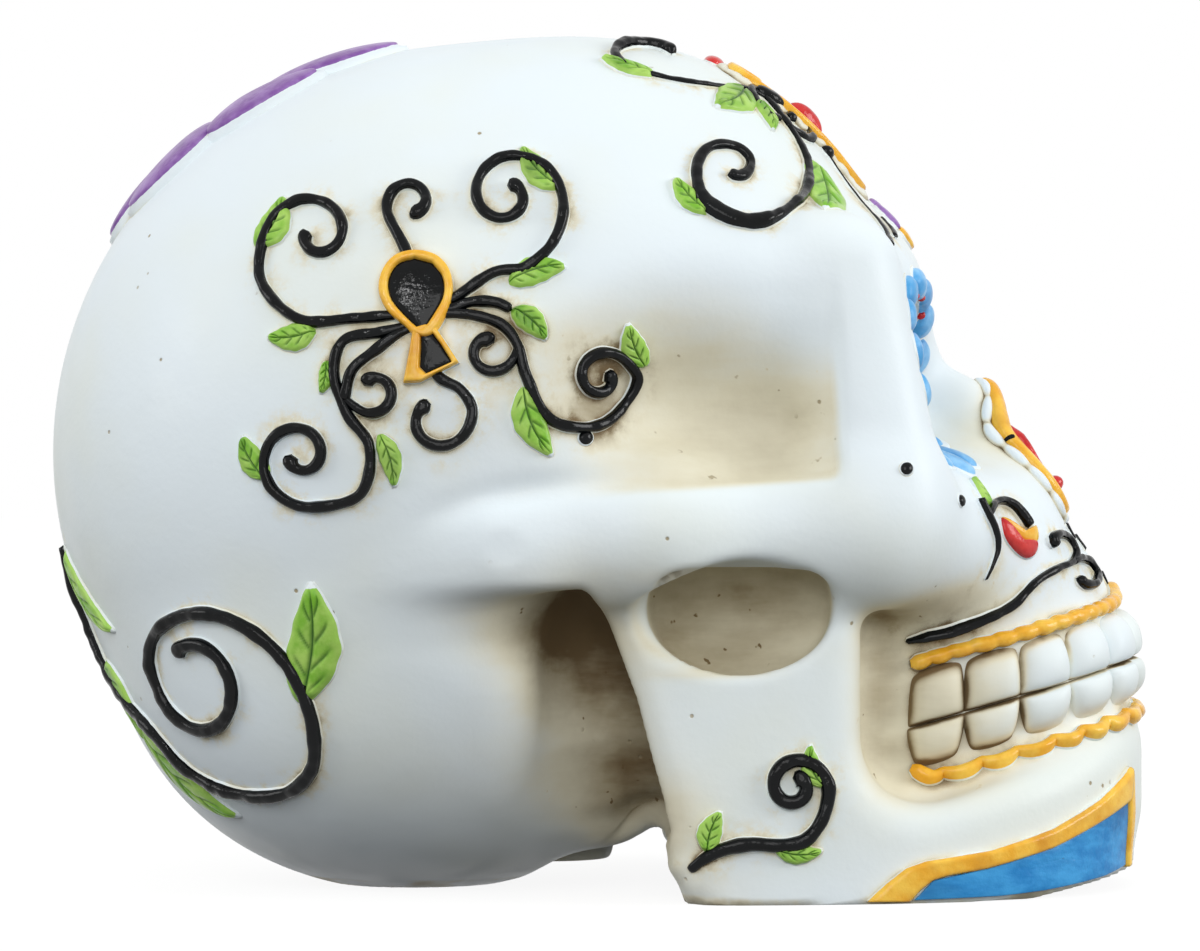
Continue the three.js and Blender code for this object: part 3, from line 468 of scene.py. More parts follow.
def smooth(points: Array, step: float, loop: bool = False) -> Array:
    """Runs a centripetal Catmull-Rom curve through points and samples it at even steps.

    Args:
        points: the points that the curve goes through.
        step: the distance between samples, in the points' unit.
        loop: whether the curve closes.

    Returns:
        The samples; a loop's last sample is its first one again.
    """
    if loop:
        ring = np.vstack([points[-1:], points, points[:2]])
    else:
        ring = np.vstack([2 * points[:1] - points[1:2], points, 2 * points[-1:] - points[-2:-1]])
    knots = np.concatenate([[0], np.cumsum(np.maximum(np.linalg.norm(np.diff(ring, axis=0), axis=1), 1e-9) ** 0.5)])
    parts = []
    for k in range(1, len(ring) - 2):
        t = np.linspace(knots[k], knots[k + 1], 24, endpoint=False)[:, None]
        t0, t1, t2, t3 = knots[k - 1:k + 3]
        p0, p1, p2, p3 = ring[k - 1:k + 3]
        a1 = (t1 - t) / (t1 - t0) * p0 + (t - t0) / (t1 - t0) * p1
        a2 = (t2 - t) / (t2 - t1) * p1 + (t - t1) / (t2 - t1) * p2
        a3 = (t3 - t) / (t3 - t2) * p2 + (t - t2) / (t3 - t2) * p3
        b1 = (t2 - t) / (t2 - t0) * a1 + (t - t0) / (t2 - t0) * a2
        b2 = (t3 - t) / (t3 - t1) * a2 + (t - t1) / (t3 - t1) * a3
        parts.append((t2 - t) / (t2 - t1) * b1 + (t - t1) / (t2 - t1) * b2)
    fine = np.vstack([*parts, ring[-2:-1]])
    return resample(fine, step)


def resample(line: Array, step: float) -> Array:
    """Places points at even steps along a line.

    Args:
        line: the line's points.
        step: the distance between the new points.

    Returns:
        The new points, the first and last as before.
    """
    along = np.concatenate([[0], np.cumsum(np.linalg.norm(np.diff(line, axis=0), axis=1))])
    count = max(int(round(along[-1] / step)), 4)
    wanted = np.linspace(0, along[-1], count + 1)
    return np.stack([np.interp(wanted, along, line[:, axis]) for axis in range(line.shape[1])], axis=-1)


def waver(along: Array, seed: int, amount: float, wavelength: float) -> Array:
    """Makes the uneven hand of a modeller: amount times a sum of three sines with seeded phases.

    Args:
        along: distances along a line.
        seed: the seed of the phases.
        amount: how far it wavers.
        wavelength: the longest wave's length.

    Returns:
        The waver at each distance.
    """
    phases = np.random.default_rng(seed).uniform(0, 2 * math.pi, 3)
    waves = [np.sin(2 * math.pi * along * rate / wavelength + phase) / rate
             for rate, phase in zip((1.0, 1.9, 3.3), phases)]
    return amount * sum(waves) / 1.8


# Surfaces on two-parameter grids.

@dataclass
class Surface:
    """A grid of places in millimetres, with values at each place for its material to read."""

    points: Array
    values: dict[str, Array] = field(default_factory=dict)
    round_rows: bool = False
    round_columns: bool = False

    def quads(self) -> Array:
        """Lists the grid's faces.

        Returns:
            Four indices for each face.
        """
        rows, columns = self.points.shape[:2]
        index = np.arange(rows * columns).reshape(rows, columns)
        if self.round_rows:
            index = np.vstack([index, index[:1]])
        if self.round_columns:
            index = np.hstack([index, index[:, :1]])
        corners = [index[:-1, :-1], index[:-1, 1:], index[1:, 1:], index[1:, :-1]]
        return np.stack([corner.ravel() for corner in corners], axis=-1)

    def outward(self, closed: bool = False) -> "Surface":
        """Turns the faces outward: off the skin, or for a closed body away from what it holds.

        Args:
            closed: whether the surface is a closed body.

        Returns:
            The surface, with its columns reversed where its faces pointed in.
        """
        quads = self.quads()
        quads = quads[::1 if closed else max(len(quads) // 400, 1)]
        corners = self.points.reshape(-1, 3)[quads]
        cross = np.cross(corners[:, 2] - corners[:, 0], corners[:, 3] - corners[:, 1])
        middle = corners.mean(axis=1)
        way = middle - self.points.reshape(-1, 3).mean(axis=0) if closed else SKIN.slope(middle)
        if (cross * way).sum() >= 0:
            return self
        values = {name: value[:, ::-1] for name, value in self.values.items()}
        return Surface(self.points[:, ::-1], values, self.round_rows, self.round_columns)

    def mirrored(self) -> "Surface":
        """Mirrors the surface to the skull's other side.

        Returns:
            The mirrored surface.
        """
        flipped = self.points[:, ::-1] * np.array([1, -1, 1])
        values = {name: value[:, ::-1] for name, value in self.values.items()}
        return Surface(flipped, values, self.round_rows, self.round_columns)


def ease(value: Array, low: float, high: float) -> Array:
    """Eases from 0 to 1 between two values: 3 t^2 - 2 t^3.

    Args:
        value: the values.
        low: where it starts.
        high: where it ends.

    Returns:
        The eased values.
    """
    t = np.clip((value - low) / (high - low), 0, 1)
    return t * t * (3 - 2 * t)


def across_of(line: Array, normal: Array, loop: bool) -> Array:
    """Finds the way across a line that lies on the skin: normal x tangent.

    Args:
        line: the line's places.
        normal: the skin's facing at each.
        loop: whether the line closes.

    Returns:
        One unit direction for each place.
    """
    if loop:
        tangent = np.roll(line, -1, axis=0) - np.roll(line, 1, axis=0)
    else:
        tangent = np.gradient(line, axis=0)
    across = np.cross(normal, tangent)
    return across / np.linalg.norm(across, axis=-1, keepdims=True)


def bead(
    line: Array, width: Array, height: Array, loop: bool = False,
    power: float = 2.6, skirt: float = 0.0, base: float = 0.0,
) -> Surface:
    """Lays a bead along a line on the skin: its section is h(v) = H (1 - |v|^p)^(1/2) over its width.

    Outside the paint's edge a bare skirt slopes down into the skin.

    Args:
        line: places on the skin along the bead's middle.
        width: its width at each place.
        height: its height at each place.
        loop: whether it closes on itself.
        power: how square the section is.
        skirt: the bare skirt's width on each side.
        base: the level that it stands on.

    Returns:
        The bead's surface, with the values paint, along and across.
    """
    if loop:
        line, width, height = line[:-1], width[:-1], height[:-1]
    inner = np.sin(np.linspace(-math.pi / 2, math.pi / 2, 15))
    v = np.concatenate([[-1.0], inner, [1.0]])
    paint = np.concatenate([[0.0], np.where(np.abs(inner) > 0.995, 0.0, 1.0), [0.0]])
    rise = np.concatenate([[-1.0], np.sqrt(np.maximum(1 - np.abs(inner) ** power, 0)), [-1.0]])
    outer = np.zeros(len(v), dtype=bool)
    outer[[0, -1]] = True
    reach = np.where(outer, np.sign(v) * (width[:, None] / 2 + skirt), v * width[:, None] / 2)
    normal = SKIN.facing(line)
    across = across_of(line, normal, loop)
    spots = SKIN.settle(line[:, None] + across[:, None] * reach[..., None], 0, 2)
    up = SKIN.facing(spots)
    low = 0.18 if skirt else 0.0
    lift = base + np.where(outer, -0.35, low + (height[:, None] - low) * np.maximum(rise, 0))
    along = np.broadcast_to(np.linspace(0, 1, len(line))[:, None], lift.shape)
    values = {
        "paint": np.broadcast_to(paint, lift.shape),
        "across": np.broadcast_to(v, lift.shape),
        "along": along,
    }
    return Surface(spots + up * lift[..., None], values, round_rows=loop)


@dataclass(frozen=True)
class Stroke:
    """A painted stroke of a scroll: its drawn points, its curl, and where it rises from its hub."""

    points: tuple[Point, ...]
    curl: Optional[Curl] = None
    wide: float = 1.0
    knob: float = 1.45
    widths: tuple[Point, ...] = ()

    def surface(self, sketch: Sketch, seed: int, width: float = 1.75, height: float = 1.3) -> Surface:
        """Lays the stroke on the skin, with rounded ends and the uneven hand of a modeller.

        Args:
            sketch: the plane that it is drawn on.
            seed: the seed of its unevenness.
            width: its width in millimetres.
            height: its height in millimetres.

        Returns:
            The stroke's surface.
        """
        drawn = smooth(wound(self.points, self.curl), 0.32 / sketch.span)
        line = resample(sketch.lay(drawn), 0.32)
        along = np.concatenate([[0], np.cumsum(np.linalg.norm(np.diff(line, axis=0), axis=1))])
        left = along[-1] - along
        full = width * self.wide * (1 + waver(along, seed, 0.1, 8))
        if self.widths:
            full = full * np.interp(along / along[-1], *np.array(self.widths).T)
        else:
            full = full * (1 + (self.knob - 1) * (1 - ease(left, 0.8, 2.6)) * bool(self.curl))
            full = full * (0.7 + 0.3 * ease(along, 0, 5))
        cap = np.sqrt(np.clip(left / (full / 2), 0, 1) * (2 - np.clip(left / (full / 2), 0, 1)))
        nose = np.sqrt(np.clip(along / (full / 2), 0, 1) * (2 - np.clip(along / (full / 2), 0, 1)))
        share = np.maximum(np.minimum(cap, nose), 0.02)
        tall = height * (1 + waver(along, seed + 50, 0.1, 7)) * np.sqrt(share) * np.clip(full / width, 0.3, 1.1)
        return bead(line, full * share, tall, power=3.2, skirt=0.3)


@dataclass(frozen=True)
class Leaf:
    """A veined leaf from its foot to its tip, as wide as a share of its length."""

    foot: Point
    tip: Point
    wide: float = 0.4
    bend: float = 0.08

    def surface(self, sketch: Sketch, seed: int, height: float = 0.95) -> Surface:
        """Lays the leaf on the skin: a dome W(u) sin-shaped in plan, cut by a midrib and chevron veins.

        Args:
            sketch: the plane that it is drawn on.
            seed: the seed of its unevenness.
            height: its height in millimetres.

        Returns:
            The leaf's surface, with the values paint and shade.
        """
        foot, tip = np.array(self.foot), np.array(self.tip)
        run = tip - foot
        side = np.array([-run[1], run[0]])
        length = np.hypot(*run)
        u = np.linspace(0, 1, 56)[:, None]
        v = np.concatenate([[-1.32, -1.16], np.linspace(-1, 1, 31), [1.16, 1.32]])[None, :]
        knee = foot + run / 2 + side * self.bend
        spine = (1 - u) ** 2 * foot + 2 * u * (1 - u) * (2 * knee - (foot + tip) / 2) + u * u * tip
        plan = np.sin(math.pi * np.clip(u, 0, 1) ** 0.78) ** 0.85
        saw = 1 + 0.03 * np.sin(u * 27 + seed) * (np.abs(v) > 0.9)
        half = length * self.wide * 0.62 * np.maximum(plan, 0.015) * saw
        skirt = 0.34 / sketch.span * np.sign(v) * np.clip((np.abs(v) - 1) / 0.32, 0, 1)
        reach = np.clip(v, -1, 1) * half + skirt
        drawn = spine[:, None, :] + reach[..., None] * (side / length)
        ends = np.where(u < 0.5, u, 1 - u)
        spots = sketch.lay(drawn)
        up = SKIN.facing(spots)
        inside = np.clip(1 - np.abs(v) ** 2.4, 0, 1) ** 0.5
        rib = np.exp(-(v / 0.07) ** 2) * ease(1 - u, 0.03, 0.2)
        lane = (u * 4.6 - np.abs(v) * 1.15 + 0.25 + 0.22 * (v > 0)) % 1 - 0.5
        vein = np.exp(-(lane / 0.1) ** 2) * ease(np.abs(v), 0.03, 0.12) * (1 - ease(np.abs(v), 0.5, 0.8))
        vein = vein * ease(u, 0.08, 0.2) * (1 - ease(u, 0.86, 0.95))
        groove = np.maximum(rib, 0.75 * vein)
        dome = (0.42 + 0.58 * inside) * ease(ends, -0.02, 0.12)
        lift = height * dome - 0.42 * groove * (np.abs(v) <= 1)
        lift = np.where(np.abs(v) > 1.2, -0.3, np.where(np.abs(v) > 1.05, 0.2, lift))
        lift = lift * np.ones_like(u)
        lift[[0, -1]] = -0.2
        paint = np.where(np.abs(v) > 1.0, 0.0, 1.0) * (1 - ease(u, 0.9, 0.99))
        pale = ease(np.abs(v), 0.55, 1.0) * np.ones_like(u)
        values = {"paint": paint, "shade": groove * np.ones_like(u), "pale": pale}
        return Surface(spots + up * lift[..., None], values)


def pad(sketch: Sketch, outline: Array, height: float, power: float = 2.2, rows: int = 14,
        middle: Optional[Array] = None, skirt: float = 0.3, low: float = 0.25, base: float = 0.0,
        ledge: float = 0.15) -> Surface:
    """Lays a cushion inside an outline: places lerp from the middle out, height low + (H - low) (1 - r^p)^(1/2).

    Args:
        sketch: the plane that it is drawn on.
        outline: the outline's drawn points in shares of the span.
        height: the height in its middle.
        power: how flat its top is.
        rows: how many rings it has.
        middle: the point that its rings shrink to.
        skirt: the bare skirt's width.
        low: the height at its edge.
        base: the level that it stands on.
        ledge: how high the bare skirt stands.

    Returns:
        The pad's surface, with the values paint and rim.
    """
    middle = outline.mean(axis=0) if middle is None else np.asarray(middle)
    r = np.concatenate([np.sin(np.linspace(0.01, math.pi / 2, rows)), [1.0, 1.0, 1.0]])[:, None]
    grown = np.zeros(len(r))
    grown[-3:] = (0.12, 0.75, 1.0)
    arms = outline - middle
    reach = np.linalg.norm(arms, axis=-1, keepdims=True)
    drawn = middle + r[..., None] * arms + (grown[:, None, None] * skirt / sketch.span) * arms / reach
    spots = sketch.lay(drawn)
    up = SKIN.facing(spots)
    lift = low + (height - low) * np.sqrt(np.clip(1 - r ** power, 0, 1)) * np.ones(len(outline))
    lift[-3] = min(ledge, low)
    lift[-2] = min(ledge, low) * 0.8
    lift[-1] = -0.3
    paint = np.ones_like(lift)
    paint[-3:] = 0
    rim = np.broadcast_to(r, lift.shape).copy()
    return Surface(spots + up * (base + lift)[..., None], {"paint": paint, "shade": rim * 0, "rim": rim}, round_columns=True)


def band(sketch: Sketch, first: Array, second: Array, height: float, step: float = 0.4, power: float = 5.0,
         skirt: float = 0.2, loop: bool = False, base: float = 0.0) -> Surface:
    """Lays a raised band between two drawn lines: places lerp across, height H (1 - |v|^p)^(1/2).

    Args:
        sketch: the plane that it is drawn on.
        first: the points of its one edge, in shares of the span.
        second: the points of its other edge.
        height: its height in millimetres.
        step: the distance between its rows.
        power: how square its section is.
        skirt: the bare skirt's width on each side.
        loop: whether its lines close.
        base: the level that it stands on.

    Returns:
        The band's surface, with the value paint.
    """
    if loop:
        first, second = np.vstack([first, first[:1]]), np.vstack([second, second[:1]])
    edges = [resample(np.asarray(line, dtype=float), step / sketch.span / 4) for line in (first, second)]
    length = max(np.linalg.norm(np.diff(edge, axis=0), axis=1).sum() for edge in edges) * sketch.span
    t = np.linspace(0, 1, max(int(length / step), 4) + 1)
    sides = [np.stack([np.interp(t, np.linspace(0, 1, len(edge)), edge[:, k]) for k in (0, 1)], axis=-1)
             for edge in edges]
    if loop:
        sides = [side[:-1] for side in sides]
    inner = np.sin(np.linspace(-math.pi / 2, math.pi / 2, 13))
    v = np.concatenate([[-1.0], inner, [1.0]])
    outer = np.arange(len(v)) % (len(v) - 1) == 0
    half = (sides[1] - sides[0]) / 2
    width = np.maximum(np.linalg.norm(half, axis=-1, keepdims=True), 1e-6)
    reach = v[None, :] * (1 + outer * skirt / sketch.span / width)
    spots = sketch.lay(((sides[0] + sides[1]) / 2)[:, None] + half[:, None] * reach[..., None])
    rise = 0.15 + (height - 0.15) * np.sqrt(np.clip(1 - np.abs(v) ** power, 0, 1))
    lift = base + np.where(outer, -0.35, rise) * np.ones((len(t) - loop, 1))
    paint = np.where(outer | (np.abs(v) > 0.995), 0.0, 1.0) * np.ones_like(lift)
    if not loop:
        spots = np.concatenate([spots[:1], spots, spots[-1:]])
        lift = np.concatenate([lift[:1] * 0 - 0.35, lift, lift[:1] * 0 - 0.35])
        paint = np.concatenate([paint[:1], paint, paint[-1:]])
    return Surface(spots + SKIN.facing(spots) * lift[..., None], {"paint": paint}, round_rows=loop)


def dot(sketch: Sketch, at: Point, size: float, height: float = 0.7) -> Surface:
    """Lays a round knob on the skin.

    Args:
        sketch: the plane that it is drawn on.
        at: where it is, in shares of the span.
        size: its diameter in millimetres.
        height: its height in millimetres.

    Returns:
        The knob's surface.
    """
    angle = np.linspace(0, 2 * math.pi, 20, endpoint=False)
    reach = size / 2 / sketch.span
    ring = np.array(at) + reach * np.stack([np.cos(angle), np.sin(angle)], axis=-1)
    return pad(sketch, ring, height, power=2.0, rows=7, middle=np.array(at), skirt=0.22, low=0.2)


# Finishes.

def linear(code: str) -> tuple[float, float, float, float]:
    """Turns an sRGB colour code into linear light.

    Args:
        code: six hexadecimal digits.

    Returns:
        Red, green, blue and alpha.
    """
    parts = [int(code[k:k + 2], 16) / 255 for k in (0, 2, 4)]
    light = [part / 12.92 if part <= 0.04045 else ((part + 0.055) / 1.055) ** 2.4 for part in parts]
    return (*light, 1.0)


def node(material: bpy.types.Material, kind: str, settings: Optional[dict] = None, **inputs) -> bpy.types.Node:
    """Adds a node to a material with its settings, values and links.

    Args:
        material: the material.
        kind: the node's type.
        settings: its properties by name.
        **inputs: its inputs by name, with blanks as underscores, or by number as in0, in1; sockets are linked.

    Returns:
        The node.
    """
    made = material.node_tree.nodes.new(kind)
    for name, value in (settings or {}).items():
        setattr(made, name, value)
    for name, value in inputs.items():
        key = int(name[2:]) if name[:2] == "in" and name[2:].isdigit() else name.replace("_", " ")
        socket = made.inputs[key]
        if isinstance(value, bpy.types.NodeSocket):
            material.node_tree.links.new(value, socket)
        else:
            socket.default_value = value
    return made


def math_node(material, operation: str, a, b=0.0, clamp: bool = False):
    """Adds a sum, product or other operation on two values.

    Args:
        material: the material.
        operation: its name in Blender.
        a: the first value or socket.
        b: the second value or socket.
        clamp: whether the result is kept between 0 and 1.

    Returns:
        The result's socket.
    """
    return node(material, "ShaderNodeMath", {"operation": operation, "use_clamp": clamp}, in0=a, in1=b).outputs[0]


def attribute(material, name: str):
    """Reads a value that the mesh carries.

    Args:
        material: the material.
        name: the value's name.

    Returns:
        Its socket.
    """
    return node(material, "ShaderNodeAttribute", {"attribute_name": name}).outputs["Fac"]


def object_place(material, stretch: tuple[float, float, float] = (1, 1, 1)):
    """Reads the place on the object, stretched.

    Args:
        material: the material.
        stretch: the factor along each axis.

    Returns:
        The place's socket.
    """
    place = node(material, "ShaderNodeTexCoord").outputs["Object"]
    return node(material, "ShaderNodeMapping", None, Vector=place, Scale=stretch).outputs[0]


def noise(material, scale: float, detail: float = 4, rough: float = 0.55, stretch=(1, 1, 1)):
    """Adds a noise over the object.

    Args:
        material: the material.
        scale: how many grains lie in a metre.
        detail: how many octaves it has.
        rough: how strong the finer ones are.
        stretch: the factor along each axis.

    Returns:
        The noise's socket, from 0 to 1.
    """
    place = object_place(material, stretch)
    return node(material, "ShaderNodeTexNoise", None, Vector=place, Scale=scale, Detail=detail, Roughness=rough).outputs["Fac"]


def spread(material, value, low: float, high: float, to_low: float = 0.0, to_high: float = 1.0):
    """Spreads a range of a value over another range, smoothly.

    Args:
        material: the material.
        value: the value's socket.
        low: where the range starts.
        high: where it ends.
        to_low: what the start becomes.
        to_high: what the end becomes.

    Returns:
        The result's socket.
    """
    made = node(material, "ShaderNodeMapRange", {"interpolation_type": "SMOOTHSTEP"}, Value=value)
    for name, number in zip(("From Min", "From Max", "To Min", "To Max"), (low, high, to_low, to_high)):
        made.inputs[name].default_value = number
    return made.outputs[0]


def mix(material, share, a, b):
    """Mixes two colours.

    Args:
        material: the material.
        share: how much of the second colour there is.
        a: the first colour or socket.
        b: the second colour or socket.

    Returns:
        The mixed colour's socket.
    """
    made = node(material, "ShaderNodeMix", {"data_type": "RGBA"}, in0=share)
    for socket, value in ((made.inputs[6], a), (made.inputs[7], b)):
        if isinstance(value, bpy.types.NodeSocket):
            material.node_tree.links.new(value, socket)
        else:
            socket.default_value = value
    return made.outputs[2]


def bump(material, height, strength: float, distance: float, under=None):
    """Turns a height into a bump.

    Args:
        material: the material.
        height: the height's socket.
        strength: how strong it is.
        distance: the height of 1, in metres.
        under: another bump's normal below it.

    Returns:
        The normal's socket.
    """
    made = node(material, "ShaderNodeBump", None, Height=height, Strength=strength, Distance=distance)
    if under is not None:
        material.node_tree.links.new(under, made.inputs["Normal"])
    return made.outputs[0]


def new_material(name: str) -> tuple[bpy.types.Material, bpy.types.Node]:
    """Makes a material with a bare principled shader.

    Args:
        name: the material's name.

    Returns:
        The material and its shader.
    """
    material = bpy.data.materials.new(name)
    material.use_nodes = True
    return material, material.node_tree.nodes["Principled BSDF"]


@dataclass(frozen=True)
class Bone:
    """Off-white satin paint on cast resin, rubbed with a brown wash that stays in the hollows."""

    name: str = "bone_paint"
    cool: str = "e7f1f6"
    warm: str = "e7eee9"
    cream: str = "e4dfc8"
    tan: str = "a89c80"
    brown: str = "6b5638"
    wash_gain: float = 1.0

    def colour(self, material):
        """Builds the washed colour from noise, the mesh's wash value and the crevices.

        Args:
            material: the material.

        Returns:
            The colour's socket and the wash's socket.
        """
        blotch = spread(material, noise(material, 22, 3), 0.38, 0.72)
        base = mix(material, blotch, linear(self.cool), linear(self.warm))
        streaks = noise(material, 55, 5, 0.62, (0.4, 1, 2.2))
        cloud = noise(material, 48, 5, 0.6)
        hollow = attribute(material, "wash")
        mottle = math_node(material, "MULTIPLY", spread(material, streaks, 0.3, 0.7, 0.84, 1.12), spread(material, cloud, 0.3, 0.7, 0.82, 1.15))
        rubbed = math_node(material, "MULTIPLY", hollow, mottle)
        crevice = node(material, "ShaderNodeAmbientOcclusion", {"samples": 8}, Distance=0.0016).outputs["AO"]
        dirt = spread(material, crevice, 0.5, 0.96, 1, 0)
        patchy = math_node(material, "MULTIPLY", dirt, spread(material, noise(material, 85, 4), 0.36, 0.66, 0.1, 1.0))
        patchy = math_node(material, "MULTIPLY", patchy, spread(material, hollow, -0.4, 0.3, 0.0, 1.1))
        fringe = spread(material, noise(material, 190, 5, 0.68), 0.44, 0.7)
        fringe = math_node(material, "MULTIPLY", fringe, attribute(material, "halo"))
        speck = spread(material, noise(material, 520, 2), 0.7, 0.76, 0, 0.4)
        speck = math_node(material, "MULTIPLY", speck, spread(material, rubbed, 0.12, 0.5))
        wash = math_node(material, "ADD", rubbed, math_node(material, "MULTIPLY", patchy, 0.9))
        wash = math_node(material, "ADD", wash, speck)
        wash = math_node(material, "ADD", wash, fringe)
        wash = math_node(material, "MULTIPLY", wash, self.wash_gain, clamp=True)
        light = mix(material, spread(material, wash, 0.02, 0.42), base, linear(self.cream))
        light = mix(material, spread(material, wash, 0.28, 0.85), light, linear(self.tan))
        return mix(material, spread(material, wash, 0.7, 1.0, 0, 0.9), light, linear(self.brown)), wash

    def build(self) -> bpy.types.Material:
        """Builds the material.

        Returns:
            The material.
        """
        material, shader = new_material(self.name)
        colour, wash = self.colour(material)
        pits = node(material, "ShaderNodeTexVoronoi", {"feature": "F1"}, Vector=object_place(material), Scale=300.0).outputs["Distance"]
        pit = spread(material, pits, 0.05, 0.11, 0, 1)
        rare = spread(material, noise(material, 70, 2), 0.6, 0.64, 1, 0)
        pit = math_node(material, "MAXIMUM", pit, rare)
        colour = mix(material, pit, linear(self.tan), colour)
        relief = math_node(material, "ADD", noise(material, 130, 4, 0.5), math_node(material, "MULTIPLY", noise(material, 900, 2), 0.22))
        normal = bump(material, relief, 0.22, 0.0006)
        normal = bump(material, pit, 0.5, 0.0003, normal)
        rough = math_node(material, "ADD", math_node(material, "MULTIPLY", wash, 0.3), spread(material, noise(material, 150, 3), 0.3, 0.7, 0.34, 0.46))
        links = material.node_tree.links
        links.new(colour, shader.inputs["Base Color"])
        links.new(rough, shader.inputs["Roughness"])
        links.new(normal, shader.inputs["Normal"])
        shader.inputs["Specular IOR Level"].default_value = 0.2
        return material


@dataclass(frozen=True)
class Paint:
    """Hand-laid gloss paint on a raised piece, whose bare skirt shows the bone colour."""

    name: str
    base: str
    dark: str
    light: str
    rough: float = 0.3
    coat: float = 0.2
    shine: float = 0.5
    brushed: tuple[float, float, float] = (1, 1, 1)

    def build(self) -> bpy.types.Material:
        """Builds the material: brushed tones, dark grooves, and a ragged edge to the bare skirt.

        Returns:
            The material.
        """
        material, shader = new_material(self.name)
        brush = spread(material, noise(material, 240, 4, 0.6, self.brushed), 0.34, 0.68)
        tone = mix(material, brush, linear(self.base), linear(self.light))
        deep = spread(material, noise(material, 150, 3, 0.55, self.brushed), 0.5, 0.74, 0, 0.55)
        tone = mix(material, deep, tone, linear(self.dark))
        tone = mix(material, math_node(material, "MULTIPLY", attribute(material, "pale"), 0.55), tone, linear(self.light))
        tone = mix(material, attribute(material, "shade"), tone, linear(self.dark))
        ragged = math_node(material, "ADD", attribute(material, "paint"), math_node(material, "MULTIPLY", math_node(material, "SUBTRACT", noise(material, 700, 3), 0.5), 0.7))
        edge = spread(material, ragged, 0.42, 0.55)
        bare, wash = Bone(wash_gain=0.8).colour(material)
        colour = mix(material, edge, bare, tone)
        relief = math_node(material, "ADD", noise(material, 420, 4, 0.6), math_node(material, "MULTIPLY", noise(material, 1500, 2), 0.3))
        normal = bump(material, relief, 0.35, 0.0004)
        rough = spread(material, edge, 0, 1, 0.42, self.rough)
        links = material.node_tree.links
        links.new(colour, shader.inputs["Base Color"])
        links.new(rough, shader.inputs["Roughness"])
        links.new(normal, shader.inputs["Normal"])
        shader.inputs["Specular IOR Level"].default_value = self.shine
        shader.inputs["Coat Weight"].default_value = self.coat
        shader.inputs["Coat Roughness"].default_value = 0.12
        return material


class Slot(Enum):
    """The record's material slots."""

    BONE = "bone"
    STOPPER = "stopper"
    BLACK = "black"
    GREEN = "green"
    YELLOW = "yellow"
    RED = "red"
    BLUE = "blue"
    PALE_BLUE = "paleBlue"
    PURPLE = "purple"


FINISHES = {
    Slot.BONE: Bone(),
    Slot.STOPPER: Paint("stopper_rubber", "2a2a2c", "19191b", "3a3a3d", 0.6, 0.0, 0.2),
    Slot.BLACK: Paint("black_gloss", "050607", "020303", "0c0f11", 0.09, 0.0, 0.17),
    Slot.GREEN: Paint("leaf_green", "7cba36", "285a18", "b0d86a", 0.28, 0.0, 0.2),
    Slot.YELLOW: Paint("golden_yellow", "eeac28", "c88218", "fbcc50", 0.18, 0.0, 0.3),
    Slot.RED: Paint("bright_red", "c21c22", "7e0c12", "d83c36", 0.16, 0.0, 0.3),
    Slot.BLUE: Paint("panel_blue", "2480c4", "125a94", "46a4e2", 0.3, 0.0, 0.2, (0.35, 1, 1.6)),
    Slot.PALE_BLUE: Paint("petal_blue", "54a6e0", "2a78be", "98cef6", 0.3, 0.0, 0.2),
    Slot.PURPLE: Paint("petal_purple", "7e509c", "5a3478", "a07cbc", 0.3, 0.0, 0.2),
}


